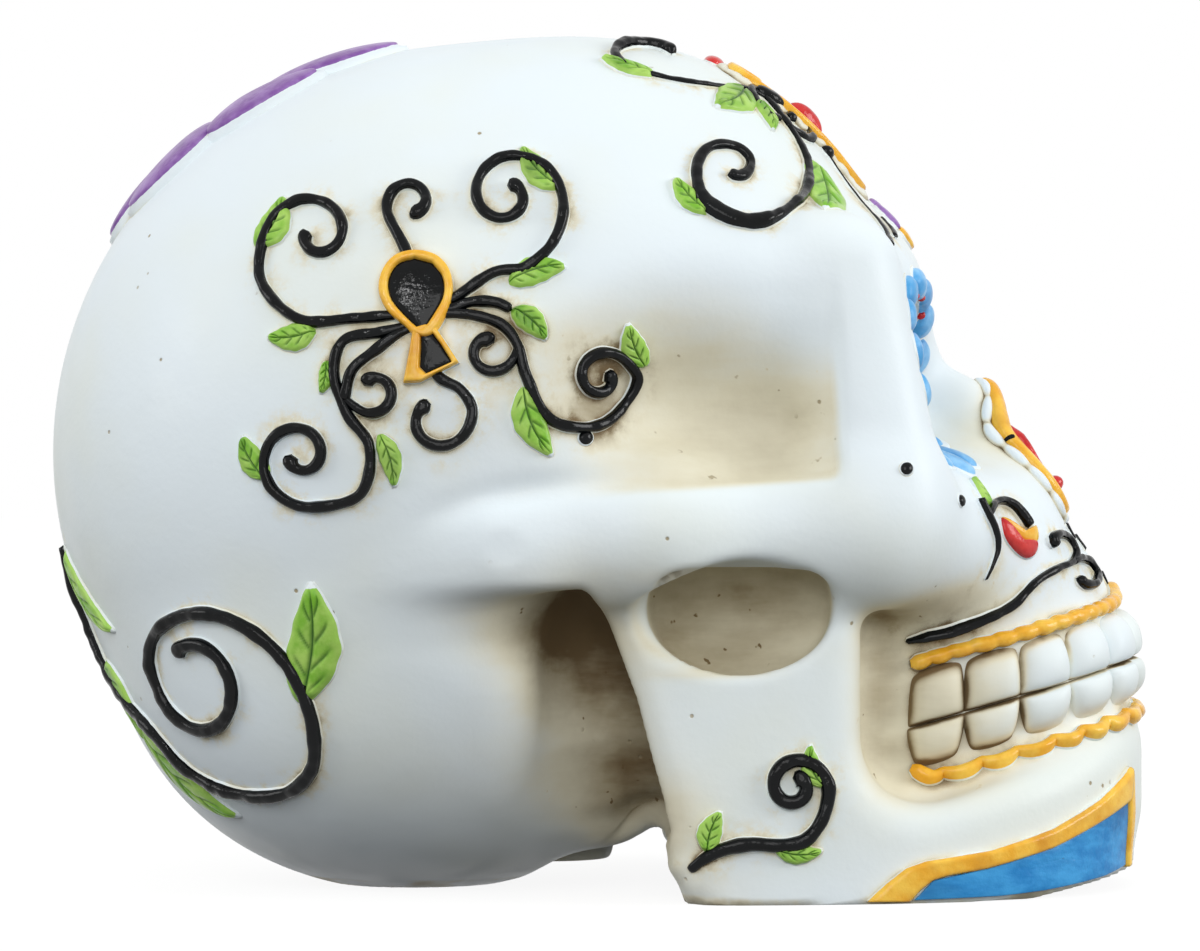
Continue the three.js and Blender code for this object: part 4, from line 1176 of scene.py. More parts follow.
class Workshop:
    """Makes pieces out of surfaces, gives them their finish and seats them on the frame."""

    def __init__(self) -> None:
        """Builds the finishes."""
        self.materials = {slot: finish.build() for slot, finish in FINISHES.items()}
        self.shift = np.zeros(3)

    def make(self, name: str, surfaces: Sequence[Surface], slot: Slot, *nodes: str, closed: bool = False) -> bpy.types.Object:
        """Makes one piece of one or more surfaces.

        Args:
            name: the piece's name.
            surfaces: its surfaces.
            slot: its material slot.
            *nodes: the CAD nodes that it stands for.
            closed: whether its surfaces are closed bodies.

        Returns:
            The piece.
        """
        surfaces = [surface.outward(closed) for surface in surfaces]
        places, quads, values = [], [], {}
        names = sorted({key for surface in surfaces for key in surface.values})
        start = 0
        for surface in surfaces:
            count = surface.points.shape[0] * surface.points.shape[1]
            places.append(surface.points.reshape(-1, 3))
            quads.append(surface.quads() + start)
            for key in names:
                grid = surface.values.get(key)
                flat = np.zeros(count) if grid is None else np.asarray(grid, dtype=float).reshape(-1)
                values.setdefault(key, []).append(flat)
            start += count
        return self.weave(name, np.vstack(places), np.vstack(quads), {k: np.concatenate(v) for k, v in values.items()}, slot, *nodes)

    def weave(self, name, places, quads, values, slot, *nodes) -> bpy.types.Object:
        """Makes one piece of places and faces, kept inside the CAD model's box.

        Args:
            name: the piece's name.
            places: its places in millimetres.
            quads: four indices for each face.
            values: its values at each place.
            slot: its material slot.
            *nodes: the CAD nodes that it stands for.

        Returns:
            The piece.
        """
        mesh = bpy.data.meshes.new(name)
        mesh.vertices.add(len(places))
        mesh.vertices.foreach_set("co", np.clip((places + self.shift) * MM, *np.array(cad_box)).ravel())
        mesh.loops.add(quads.size)
        mesh.loops.foreach_set("vertex_index", quads.ravel().astype(np.int32))
        mesh.polygons.add(len(quads))
        mesh.polygons.foreach_set("loop_start", np.arange(0, quads.size, 4, dtype=np.int32))
        mesh.polygons.foreach_set("loop_total", np.full(len(quads), 4, dtype=np.int32))
        mesh.update(calc_edges=True)
        mesh.validate()
        for key, value in values.items():
            mesh.attributes.new(key, "FLOAT", "POINT").data.foreach_set("value", value.astype(np.float32))
        mesh.shade_smooth()
        mesh.materials.append(self.materials[slot])
        piece = bpy.data.objects.new(name, mesh)
        bpy.context.scene.collection.objects.link(piece)
        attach(piece, "root")
        if nodes:
            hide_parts(*nodes)
        log.info("%s: %d faces", name, len(quads))
        return piece

    def pair(self, name: str, surfaces: Sequence[Surface], slot: Slot, node_name: Optional[str] = None) -> None:
        """Makes a piece for each side.

        Args:
            name: the pieces' name without its side.
            surfaces: the right side's surfaces.
            slot: their material slot.
            node_name: the name without its side of the CAD nodes that they stand for.
        """
        for side, flip in (("right", False), ("left", True)):
            own = [surface.mirrored() for surface in surfaces] if flip else surfaces
            nodes = (f"{node_name}_{side}",) if node_name else ()
            self.make(f"{name}_{side}", own, slot, *nodes)


# The shell.

@dataclass(frozen=True)
class WashAndShadeSpot:
    """A place where the wash value changes, an oval of influence in millimetres: mostly where the brown wash lies
    thick; two of them are painted shade.
    """

    at: tuple[float, float, float]
    reach: tuple[float, float, float]
    strength: float


WASH_AND_SHADE_SPOTS = (
    WashAndShadeSpot((44, 40, 68), (7, 14, 14), -0.3),
    WashAndShadeSpot((30, 42, 76), (8, 14, 8), -0.2),
    WashAndShadeSpot((10, 44, 70), (18, 12, 10), 0.14),
    WashAndShadeSpot((-14, 44, 67), (22, 12, 13), 0.15),
    WashAndShadeSpot((-2, 46, 74), (6, 8, 5), 0.16),
    WashAndShadeSpot((0, 46, 65.5), (4.5, 6, 2.2), 0.5),
    WashAndShadeSpot((18, 42, 33.5), (10, 10, 2.2), 0.3),
    WashAndShadeSpot((-3, 36, 32), (10, 14, 17), 0.34),
    WashAndShadeSpot((2, 34, 12), (10, 14, 12), 0.4),
    WashAndShadeSpot((-18, 40, 18), (14, 14, 10), 0.1),
    WashAndShadeSpot((-6, 40, 44), (16, 14, 4), 0.16),
    WashAndShadeSpot((38, 30, 27), (5, 12, 15), 0.5),
    # Painted shadow: a thin dark band along the upper left rim of the jaw's oval hollow, under the overhang of the
    # arch.
    WashAndShadeSpot((12, 42, 43.5), (6, 8, 1.6), 0.3),
    WashAndShadeSpot((16, 42, 30.6), (7, 8, 0.9), 0.35),
    # Painted shade: darkens the low bulge of the base between the braincase and the jaw, where the underside turns into
    # shade.
    WashAndShadeSpot((4, 34, 8), (8, 20, 6), 0.3),
    WashAndShadeSpot((-9, 40, 37), (11, 12, 6), 0.16),
    WashAndShadeSpot((46, 28, 17), (9, 10, 5), 0.4),
    WashAndShadeSpot((46, 28, 40), (12, 8, 4), 0.5),
    WashAndShadeSpot((56, 20, 29), (22, 16, 8), 0.2),
    WashAndShadeSpot((46, 19.6, 70.4), (14, 8.5, 8.5), 0.5),
    WashAndShadeSpot((57, 0, 60), (9, 8, 9), 0.7),
    WashAndShadeSpot((52, 12, 58), (8, 8, 7), 0.16),
    WashAndShadeSpot((14, 44, 2), (9, 10, 4), 0.2),
    WashAndShadeSpot((12, 44, 12), (7, 8, 5), 0.12),
    WashAndShadeSpot((36, 10, 98), (6, 6, 6), 0.2),
)


@dataclass(frozen=True)
class Shell:
    """The cast shell: an even grid of six square patches, drawn tight over the skin."""

    first: int = 31
    doublings: int = 2
    evenings: tuple[int, ...] = (44, 16, 8)
    lumps: tuple[tuple[float, float, float, float], ...] = (
        (9.5, 8.2, 1.5, 0.7), (11.0, 5.0, 1.7, 0.9), (13.0, 2.6, 1.4, 0.7), (8.6, 11.4, 1.2, 0.5), (14.5, 5.2, 1.1, 0.4),
    )

    @staticmethod
    def patches(count: int) -> Array:
        """Lays a square grid on each face of a cube and throws it onto the unit ball.

        Args:
            count: how many squares lie along an edge.

        Returns:
            Six grids of unit directions.
        """
        t = np.tan(np.linspace(-1, 1, count + 1) * math.pi / 4)
        a, b = np.meshgrid(t, t, indexing="ij")
        one = np.ones_like(a)
        faces = [(one, a, b), (-one, b, a), (b, one, a), (a, -one, b), (a, b, one), (b, a, -one)]
        grids = np.stack([np.stack(face, axis=-1) for face in faces])
        return grids / np.linalg.norm(grids, axis=-1, keepdims=True)

    @staticmethod
    def weld(count: int) -> tuple[Array, int]:
        """Numbers the places of the six grids so that the seams share theirs.

        Args:
            count: how many squares lie along an edge.

        Returns:
            The numbers in the grids' form, and how many there are.
        """
        rays = Shell.patches(count).reshape(-1, 3)
        keys = np.round(rays * 1e5).astype(np.int64) @ np.array([1, 1 << 20, 1 << 40])
        _, index = np.unique(keys, return_inverse=True)
        return index.reshape(6, count + 1, count + 1), int(index.max()) + 1

    def grow(self) -> tuple[Array, Array]:
        """Casts a coarse grid onto the skin, evens it out, and doubles and evens it again.

        Evening moves each place half way to the mean of its neighbours and settles it on the skin.

        Returns:
            The places and the faces.
        """
        count = self.first
        index, total = self.weld(count)
        places = np.zeros((total, 3))
        rays = self.patches(count).reshape(-1, 3)
        places[index.ravel()] = SKIN.cast(np.broadcast_to(HEART, rays.shape), rays)
        for stage, turns in enumerate(self.evenings):
            if stage:
                coarse = places[index]
                fine = np.zeros((6, 2 * count + 1, 2 * count + 1, 3))
                fine[:, ::2, ::2] = coarse
                fine[:, 1::2, ::2] = (coarse[:, 1:] + coarse[:, :-1]) / 2
                fine[:, :, 1::2] = (fine[:, :, 2::2] + fine[:, :, :-2:2]) / 2
                count *= 2
                index, total = self.weld(count)
                places = np.zeros((total, 3))
                places[index.ravel()] = fine.reshape(-1, 3)
                places = SKIN.settle(places, 0, 1)
            edges = self.edges(index)
            degree = np.bincount(edges.ravel(), minlength=total)[:, None]
            for _ in range(turns):
                mean = np.stack([
                    np.bincount(edges[:, 0], places[edges[:, 1], axis], total)
                    + np.bincount(edges[:, 1], places[edges[:, 0], axis], total)
                    for axis in range(3)
                ], axis=-1) / degree
                places = SKIN.settle((places + mean) / 2, 0, 1)
        corners = [index[:, :-1, :-1], index[:, 1:, :-1], index[:, 1:, 1:], index[:, :-1, 1:]]
        quads = np.stack([corner.ravel() for corner in corners], axis=-1)
        middle = places[quads].mean(axis=1)
        cross = np.cross(places[quads[:, 2]] - places[quads[:, 0]], places[quads[:, 3]] - places[quads[:, 1]])
        inward = (cross * SKIN.slope(middle)).sum(-1) < 0
        quads[inward] = quads[inward, ::-1]
        return places, quads

    @staticmethod
    def edges(index: Array) -> Array:
        """Lists each edge between neighbours once.

        Args:
            index: the numbered grids.

        Returns:
            Two indices for each edge.
        """
        along = np.stack([index[:, 1:].ravel(), index[:, :-1].ravel()], axis=-1)
        over = np.stack([index[:, :, 1:].ravel(), index[:, :, :-1].ravel()], axis=-1)
        return np.unique(np.sort(np.vstack([along, over]), axis=1), axis=0)

    def wash(self, places: Array) -> Array:
        """Finds the wash value: the brown wash, thick in hollows and where it was left, and painted shade at the top of
        the jaw's oval hollow and on the base before the jaw.

        A hollow is measured by 1 - depth(place + d facing) / d at three distances d.

        Args:
            places: places on the skin.

        Returns:
            The wash value at each place, painted shade included.
        """
        facing = SKIN.facing(places)
        hollow = np.zeros(len(places))
        for reach, share in ((2.5, 0.3), (6.0, 0.4), (13.0, 0.3)):
            hollow += share * np.clip(1 - SKIN.depth(places + facing * reach) / reach, 0, 1)
        oval, temple, gap = self.hollows(places, facing)
        wash = 0.3 * ease(hollow, 0.2, 0.85) * (1 - 0.7 * ease(places[:, 2], 48, 58)) + 0.72 * oval + 0.4 * temple[1] + 0.4 * gap
        side = places * np.array([1, 0, 1]) + np.abs(places) * np.array([0, 1, 0])
        # Each spot adds brown wash, except the spot at the top of the jaw's oval hollow and the one on the base before
        # the jaw, which add painted shade.
        for wash_and_shade_spot in WASH_AND_SHADE_SPOTS:
            away = ((side - np.array(wash_and_shade_spot.at)) / np.array(wash_and_shade_spot.reach)) ** 2
            wash += wash_and_shade_spot.strength * np.exp(-away.sum(-1))
        return np.clip(wash, 0, 1.2)

    @staticmethod
    def hollows(places: Array, facing: Array) -> tuple[Array, Array, Array]:
        """Finds the shares of the three hollows that are carved deeper, on places that face sideways.

        The oval is 1 inside an ellipse and falls to 0 over its rim; the temple is a product of eased
        edges; the gap is e^(-(d / reach)^2) with d the distance from the jaw's rear edge.

        Args:
            places: places on the skin.
            facing: the way that the skin faces there.

        Returns:
            The shares of the oval in the jaw, of the temple (its form, then its wash) and of the gap
            behind the jaw.
        """
        x, z = places[:, 0], places[:, 2]
        side = ease(facing[:, 1] * np.sign(places[:, 1]), 0.05, 0.4)
        radius = np.sqrt(((x - 18.9) / 12.4) ** 2 + ((z - 39.2) / 8.7) ** 2)
        oval = 0.45 * (1 - ease(radius, 0.76, 1.03)) + 0.55 * np.clip(1 - radius**2, 0, 1) ** 0.8
        oval *= (1 - ease(z, 41.5, 45.0)) * ease(np.abs(places[:, 1]), 24, 28) * side
        crest = np.interp(x, (-24, -15.4, -4.9, 5.6, 31.7), (48.5, 51.6, 53.2, 54.6, 56.2))
        front = (1 - ease(x, 30.4, 33.0)) * side
        groove = 1.3 * np.exp(-(((z - crest - 2.2) / 2.0) ** 2)) * ease(x, -26, -10)
        temple = front * np.stack([
            ease(x, 14, 29) * ease(z, 56, 60) * (1 - ease(z, 74, 90)) + groove,
            ease(x, -8, 14) * ease(z, crest - 0.8, crest + 1.4) * (1 - ease(z, 64, 88)),
        ])
        away = x - np.interp(z, (8, 10, 19, 27, 35, 43), (8, 7.5, 5, 3, 0, -3))
        behind = np.interp(z, (10, 20, 28, 34, 40), (8.0, 7.0, 9.5, 13.5, 16.0))
        gap = np.exp(-((away / np.where(away < 0, behind, 1.3)) ** 2)) * ease(z, 5, 11) * (1 - ease(z, 37, 43))
        return oval, temple, gap * ease(facing[:, 1] * np.sign(places[:, 1]), -0.3, 0.2)

    def carve(self, places: Array) -> Array:
        """Moves the places along the skin's facing, in at the hollows and down at the base before the jaw.

        Args:
            places: places on the skin.

        Returns:
            The moved places.
        """
        facing = SKIN.facing(places)
        oval, temple, gap = self.hollows(places, facing)
        filled = np.exp(-(((places[:, 0] - 22) / 9) ** 2) - ((places[:, 2] - 67) / 9) ** 2)
        moved = places - facing * (5.0 * oval + 0.9 * temple[0] + 5.0 * gap - 0.9 * filled)[:, None]
        base = np.exp(-((places[:, 0] - 3.5) / 5.5) ** 2) * ease(-facing[:, 2], 0.1, 0.7) * (1 - ease(places[:, 2], 12, 18))
        for x, z, reach, height in self.lumps:
            near = np.exp(-((moved[:, 0] - x) ** 2 + (moved[:, 2] - z) ** 2) / reach**2) * ease(np.abs(moved[:, 1]), 26, 32)
            moved += facing * (height * near)[:, None]
        socket = 1 - ((np.abs(places[:, 1]) - 19.6) / 9.8) ** 2 - ((places[:, 2] - 70.4) / 9.8) ** 2
        moved[:, 0] -= 5.0 * np.clip(socket, 0, 1) ** 0.75 * (places[:, 0] > 25)
        moved[:, 2] -= 2.6 * base * (1 - ease(np.abs(places[:, 1]), 30, 38))
        return moved

    @staticmethod
    def halo(places: Array) -> Array:
        """Finds how near the painted strokes are: e^(-(d / reach)^2), with d the distance to their lines.

        Args:
            places: places on the skin.

        Returns:
            The halo at each place.
        """
        side = places * np.array([1, 0, 1]) - np.abs(places) * np.array([0, 1, 0])
        scrolls = [(TEMPLE, TempleOrnament().strokes)] + [(scroll.sketch, scroll.strokes) for scroll in SCROLLS]
        lines = np.vstack([
            sketch.lay(smooth(wound(stroke.points, stroke.curl), 1.2 / sketch.span))
            for sketch, strokes in scrolls for stroke in strokes
        ]).astype(np.float32)
        halo = np.zeros(len(places))
        for part in np.array_split(np.arange(len(places)), 24):
            away = side[part].astype(np.float32)
            nearest = np.sqrt(((away[:, None] - lines[None]) ** 2).sum(-1).min(axis=1))
            halo[part] = np.exp(-(nearest / 2.6) ** 2)
        return halo

    def build(self, shop: Workshop) -> None:
        """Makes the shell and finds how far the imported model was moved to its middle.

        Args:
            shop: the workshop.
        """
        places, quads = self.grow()
        shop.shift = np.array([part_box("skull_shell")[0][0] / MM - places[:, 0].min(), 0, 0])
        places[:, 2] = np.maximum(places[:, 2], 0)
        values = {"wash": self.wash(places), "halo": self.halo(places) * 0.55}
        places = self.carve(places)
        places[:, 2] = np.maximum(places[:, 2], 0)
        shop.weave("shell", places, quads, values, Slot.BONE, "skull_shell")


# The ornaments.

TEMPLE = Sketch((-0.159, -0.464, 0.692), 90, 0, 0.342)
FOREHEAD = Sketch((0.112, -0.309, 0.855), 60, 50, 0.263)
NAPE = Sketch((-0.329, -0.34, 0.231), 150, -18, 0.329)
JAW = Sketch((0.158, -0.402, 0.103), 90, 0, 0.158)
CHEEK = Sketch((0.355, -0.278, 0.376), 55, 5, 0.158)
EYE = Sketch((0.303, -0.196, 0.594), 14, 5, 0.165)
NOSE = Sketch((0.395, 0, 0.515), 0, 18, 0.125)
CHIN = Sketch((0.368, -0.309, 0.068), 50, 0, 0.289)
HEART_SKETCH = Sketch((0.184, 0, 0.92), 0, 58, 0.164)
CROWN = Sketch((-0.322, 0, 0.897), 180, 42, 0.308)
BROW = Sketch((0.26, 0, 0.778), 0, 30, 0.059)
PHILTRUM = Sketch((0.45, 0, 0.4), 0, 20, 0.1)


@dataclass(frozen=True)
class TempleOrnament:
    """The keyhole among ten curling strokes and ten leaves."""

    strokes: tuple[Stroke, ...] = (
        Stroke(((0, -0.06), (-0.14, -0.07), (-0.288, -0.071), (-0.39, 0.033), (-0.371, 0.174)), Curl((-0.247, 0.142), -1.05, 0.2)),
        Stroke(((0, 0.02), (-0.018, 0.098), (-0.068, 0.2)), Curl((-0.007, 0.226), -0.85, 0.4)),
        Stroke(((0.02, -0.05), (0.098, -0.023), (0.206, 0.046), (0.284, 0.059), (0.349, 0.118), (0.377, 0.191)), Curl((0.234, 0.241), 1.3, 0.2)),
        Stroke(((0.02, -0.06), (0.101, -0.045), (0.148, -0.03), (0.214, -0.033), (0.25, -0.05))),
        Stroke(((0.02, -0.07), (0.101, -0.058), (0.222, -0.086), (0.262, -0.134), (0.285, -0.215), (0.35, -0.328), (0.478, -0.334), (0.562, -0.219)), Curl((0.47, -0.221), 1.15, 0.22)),
        Stroke(((0.262, -0.134), (0.262, -0.15)), Curl((0.192, -0.152), -0.85, 0.35)),
        Stroke(((0.01, -0.08), (-0.07, -0.105), (-0.172, -0.126), (-0.197, -0.201), (-0.163, -0.31), (-0.107, -0.39), (-0.13, -0.511), (-0.26, -0.544)), Curl((-0.28, -0.415), -1.3, 0.2)),
        Stroke(((0.01, -0.09), (-0.028, -0.106), (-0.091, -0.15), (-0.15, -0.2), (-0.172, -0.28))),
        Stroke(((-0.172, -0.27), (-0.14, -0.295)), Curl((-0.095, -0.255), 0.8, 0.5)),
        Stroke(((0.03, -0.16), (0.069, -0.22), (0.119, -0.248), (0.15, -0.295)), Curl((0.059, -0.323), -0.75, 0.4)),
    )
    leaves: tuple[Leaf, ...] = (
        Leaf((-0.405, 0.115), (-0.335, 0.253), bend=-0.1),
        Leaf((-0.245, -0.1), (-0.373, -0.116), 0.42),
        Leaf((0.37, 0.262), (0.266, 0.377), 0.36),
        Leaf((0.24, 0.02), (0.39, 0.062), 0.36),
        Leaf((0.25, -0.045), (0.338, -0.126), 0.42),
        Leaf((0.585, -0.19), (0.54, -0.078), 0.42),
        Leaf((0.278, -0.24), (0.352, -0.42), 0.33, -0.1),
        Leaf((-0.082, -0.36), (-0.045, -0.498), 0.3),
        Leaf((-0.365, -0.475), (-0.433, -0.362), 0.4),
        Leaf((-0.215, -0.175), (-0.232, -0.262), 0.35),
    )
    head_edge: tuple[Point, ...] = (
        (0.006, 0.096), (-0.044, 0.083), (-0.076, 0.044), (-0.084, -0.008), (-0.062, -0.056), (-0.018, -0.094),
        (0.006, -0.116), (0.042, -0.122), (0.064, -0.104), (0.09, -0.056), (0.102, -0.006), (0.092, 0.05),
        (0.058, 0.085),
    )
    pear: tuple[Point, ...] = (
        (0.006, 0.074), (-0.036, 0.06), (-0.058, 0.021), (-0.053, -0.022), (-0.019, -0.066), (0.02, -0.1),
        (0.028, -0.1), (0.056, -0.062), (0.078, -0.018), (0.075, 0.028), (0.05, 0.062),
    )
    foot_edge: tuple[Point, ...] = (
        (0.002, -0.1), (-0.006, -0.15), (-0.022, -0.236), (0.02, -0.234), (0.118, -0.184), (0.087, -0.137),
        (0.062, -0.1), (0.034, -0.09),
    )
    foot: tuple[Point, ...] = (
        (0.024, -0.11), (0.024, -0.15), (0.022, -0.196), (0.038, -0.212), (0.1, -0.184), (0.074, -0.142),
        (0.05, -0.11), (0.036, -0.106),
    )

    def build(self, shop: Workshop) -> None:
        """Makes the ornament on both sides.

        Args:
            shop: the workshop.
        """
        strokes = [stroke.surface(TEMPLE, seed, 1.5, 1.2) for seed, stroke in enumerate(self.strokes)]
        shop.pair("temple_strokes", strokes, Slot.BLACK, "temple_scrollwork")
        for number, leaf in enumerate(self.leaves, 1):
            shop.pair(f"temple_leaf_{number:02d}", [leaf.surface(TEMPLE, number)], Slot.GREEN, f"temple_leaf_{number:02d}")
        head = smooth(np.array(self.head_edge), 0.3 / TEMPLE.span, loop=True)[:-1]
        pear = smooth(np.array(self.pear), 0.3 / TEMPLE.span)
        rims = [
            band(TEMPLE, head, pear, 1.6, 0.25, loop=True, base=0.15),
            band(TEMPLE, np.array(self.foot_edge), np.array(self.foot), 1.55, 0.25, loop=True, base=0.15),
        ]
        shop.pair("keyhole_rim", rims, Slot.YELLOW, "keyhole_rim")
        foot = resample(np.array([*self.foot, self.foot[0]]), 0.3 / TEMPLE.span)[:-1]
        insets = [
            pad(TEMPLE, shape, 1.25, power=4, skirt=0.3, low=1.0, ledge=0.8, base=0.1) for shape in (pear, foot)
        ]
        shop.pair("keyhole_inset", insets, Slot.BLACK, "keyhole_inset")


@dataclass(frozen=True)
class Scroll:
    """A scroll with leaves on a sketch plane."""

    name: str
    sketch: Sketch
    strokes: tuple[Stroke, ...]
    leaves: tuple[Leaf, ...] = ()
    width: float = 1.9
    node: Optional[str] = None

    def build(self, shop: Workshop) -> None:
        """Makes the scroll and its leaves on both sides.

        Args:
            shop: the workshop.
        """
        strokes = [stroke.surface(self.sketch, 20 + seed, self.width) for seed, stroke in enumerate(self.strokes)]
        shop.pair(f"{self.name}_strokes", strokes, Slot.BLACK, self.node)
        if self.leaves:
            leaves = [leaf.surface(self.sketch, seed) for seed, leaf in enumerate(self.leaves)]
            shop.pair(f"{self.name}_leaves", leaves, Slot.GREEN)


SCROLLS = (
    Scroll("forehead", FOREHEAD, (
        Stroke((
            (0.39, 0.4), (0.3, 0.42), (0.171, 0.378), (0.03, 0.373), (-0.07, 0.4), (-0.125, 0.44), (-0.162, 0.513),
            (-0.154, 0.583), (-0.115, 0.64), (-0.036, 0.69), (0.041, 0.7), (0.09, 0.66), (0.086, 0.614),
        ), widths=((0, 0.6), (0.2, 0.45), (0.5, 0.55), (0.7, 0.75), (0.8, 1.1), (1, 1.0))),
        Stroke((
            (0.37, 0.42), (0.385, 0.282), (0.395, 0.169), (0.382, 0.058), (0.313, -0.08), (0.186, -0.226),
            (0.063, -0.297), (-0.034, -0.299), (-0.113, -0.252), (-0.152, -0.192), (-0.146, -0.116), (-0.115, -0.036),
            (-0.059, 0.023), (0.007, 0.042), (0.071, 0.031), (0.096, -0.014), (0.069, -0.066), (0.02, -0.097),
            (-0.022, -0.09),
        ), widths=((0, 0.7), (0.14, 0.6), (0.3, 0.85), (0.45, 0.8), (0.54, 1.25), (0.62, 1.35), (0.7, 0.85), (0.9, 0.75), (1, 0.95))),
        Stroke(((0.385, 0.3), (0.392, 0.235), (0.45, 0.225), (0.51, 0.26), (0.525, 0.33), (0.47, 0.36), (0.44, 0.31)), widths=((0, 0.6), (0.5, 0.8), (0.8, 0.6), (1, 0.9))),
        Stroke(((0.39, 0.42), (0.34, 0.44), (0.3, 0.4), (0.285, 0.32), (0.3, 0.262), (0.36, 0.262)), widths=((0, 0.8), (0.5, 0.7), (1, 0.6))),
        Stroke(((0.34, 0.44), (0.39, 0.42), (0.46, 0.4)), widths=((0, 1.0), (0.5, 1.7), (1, 1.0))),
        Stroke(((0.6, 0.24), (0.62, 0.1), (0.62, -0.06), (0.59, -0.22), (0.54, -0.34)), widths=((0, 0.25), (0.5, 0.3), (1, 0.55))),
        Stroke(((0.68, -0.06), (0.665, -0.16), (0.64, -0.22)), widths=((0, 0.35), (1, 0.5))),
    ), (
        Leaf((-0.093, 0.407), (-0.215, 0.575), 0.34),
        Leaf((0.27, 0.405), (0.06, 0.23), 0.4),
        Leaf((0.294, 0.34), (0.275, 0.165), 0.34),
        Leaf((0.428, 0.1), (0.26, -0.29), 0.3, 0.1),
        Leaf((-0.155, -0.25), (-0.222, -0.085), 0.36),
    ), node="forehead_scrollwork"),
    Scroll("nape", NAPE, (
        Stroke((
            (-0.7, 0.43), (-0.7, 0.25), (-0.62, 0.09), (-0.481, -0.004), (-0.355, -0.084), (-0.267, -0.185),
            (-0.17, -0.247), (-0.038, -0.286), (0.076, -0.283), (0.169, -0.226), (0.218, -0.121),
            (0.224, -0.013), (0.197, 0.087), (0.122, 0.183), (0.03, 0.232), (-0.075, 0.236), (-0.184, 0.193),
            (-0.235, 0.124),
        ), Curl((-0.068, 0.062), 0.9, 0.5)),
    ), (
        Leaf((-0.68, 0.42), (-0.4, 0.2), 0.22, -0.1),
        Leaf((-0.43, -0.05), (-0.17, -0.36), 0.27, -0.1),
        Leaf((0.215, -0.05), (0.3, 0.27), 0.27, -0.05),
        Leaf((-0.61, 0.1), (-0.43, -0.13), 0.28),
    ), node="nape_scrollwork"),
    Scroll("jaw", JAW, (
        Stroke((
            (-0.488, -0.309), (-0.417, -0.246), (-0.307, -0.191), (-0.158, -0.164), (-0.004, -0.171),
            (0.135, -0.149), (0.223, -0.051), (0.262, 0.059),
        ), Curl((0.08, 0.15), 1.35, 0.24)),
    ), (
        Leaf((-0.4, -0.21), (-0.323, 0.023), 0.42),
        Leaf((0.26, 0.14), (0.17, 0.39), 0.36, 0.16),
        Leaf((-0.03, -0.19), (0.245, -0.2), 0.3, -0.1),
    ), node="jaw_scrollwork"),
    Scroll("cheek", CHEEK, (
        Stroke(((-0.165, 0.4), (-0.124, 0.309), (-0.067, 0.225), (-0.036, 0.131), (-0.064, 0.037), (-0.1, -0.051)),
               widths=((0, 0.8), (0.3, 0.9), (0.7, 0.55), (1, 0.35))),
        Stroke(((-0.12, 0.3), (-0.04, 0.35), (0.06, 0.385), (0.167, 0.385), (0.235, 0.343), (0.278, 0.285), (0.295, 0.239)),
               widths=((0, 0.8), (0.5, 0.9), (0.8, 1.2), (1, 1.3))),
    ), (Leaf((-0.05, 0.36), (-0.08, 0.53), 0.42),), width=1.2, node="cheek_scrollwork"),
    Scroll("moustache", CHEEK, (
        Stroke((
            (-0.413, -0.366), (-0.309, -0.334), (-0.186, -0.307), (-0.025, -0.258), (0.143, -0.19), (0.305, -0.063),
            (0.497, 0.015), (0.647, 0.052), (0.72, 0.114), (0.68, 0.183), (0.56, 0.205), (0.47, 0.17), (0.5, 0.135),
        ), widths=((0, 0.5), (0.08, 1.3), (0.2, 1.35), (0.35, 1.0), (0.5, 0.85), (0.7, 0.8), (0.85, 0.85), (1, 1.2))),
        Stroke(((0.64, 0.05), (0.78, 0.07), (0.9, 0.045), (0.95, -0.01), (0.84, -0.078), (0.72, -0.08), (0.66, -0.045)),
               widths=((0, 0.9), (0.6, 0.95), (1, 1.25))),
    ), width=1.3, node="moustache"),
)


@dataclass(frozen=True)
class CheekDrop:
    """The red drop on the cheek, with a yellow top."""

    outline: tuple[Point, ...] = (
        (0.06, 0.295), (0.06, 0.2), (0.14, 0.12), (0.25, 0.07), (0.32, 0.1), (0.345, 0.16), (0.22, 0.17), (0.12, 0.23),
    )
    top: tuple[Point, ...] = (
        (0.07, 0.3), (0.135, 0.246), (0.214, 0.208), (0.31, 0.222), (0.36, 0.256), (0.35, 0.17), (0.222, 0.165), (0.12, 0.225),
    )

    def build(self, shop: Workshop) -> None:
        """Makes the drops on both sides.

        Args:
            shop: the workshop.
        """
        ring = smooth(np.array(self.outline), 0.4 / CHEEK.span, loop=True)[:-1]
        shop.pair("cheek_drop", [pad(CHEEK, ring, 1.3)], Slot.RED, "cheek_drop")
        ring = smooth(np.array(self.top), 0.4 / CHEEK.span, loop=True)[:-1]
        shop.pair("cheek_drop_top", [pad(CHEEK, ring, 1.2)], Slot.YELLOW)
        dots = [dot(TEMPLE, (1.246, -0.448), 1.6), dot(CHEEK, (-0.387, 0.379), 1.6)]
        dots += [dot(TEMPLE, (0.434, -0.37), 1.8), dot(FOREHEAD, (0.6, 0.26), 1.9, 1.2)]
        shop.pair("black_dots", dots, Slot.BLACK)
        ticks = [
            Stroke(points, widths=((0, 0.9), (1, 0.7))).surface(PHILTRUM, seed, 1.0, 0.7)
            for seed, points in enumerate((((-0.62, 0.3), (-0.52, 0.12)), ((-0.3, 0.16), (-0.24, -0.02)), ((-0.14, -0.24), (-0.1, -0.4))))
        ]
        shop.pair("lip_ticks", ticks, Slot.BLACK)


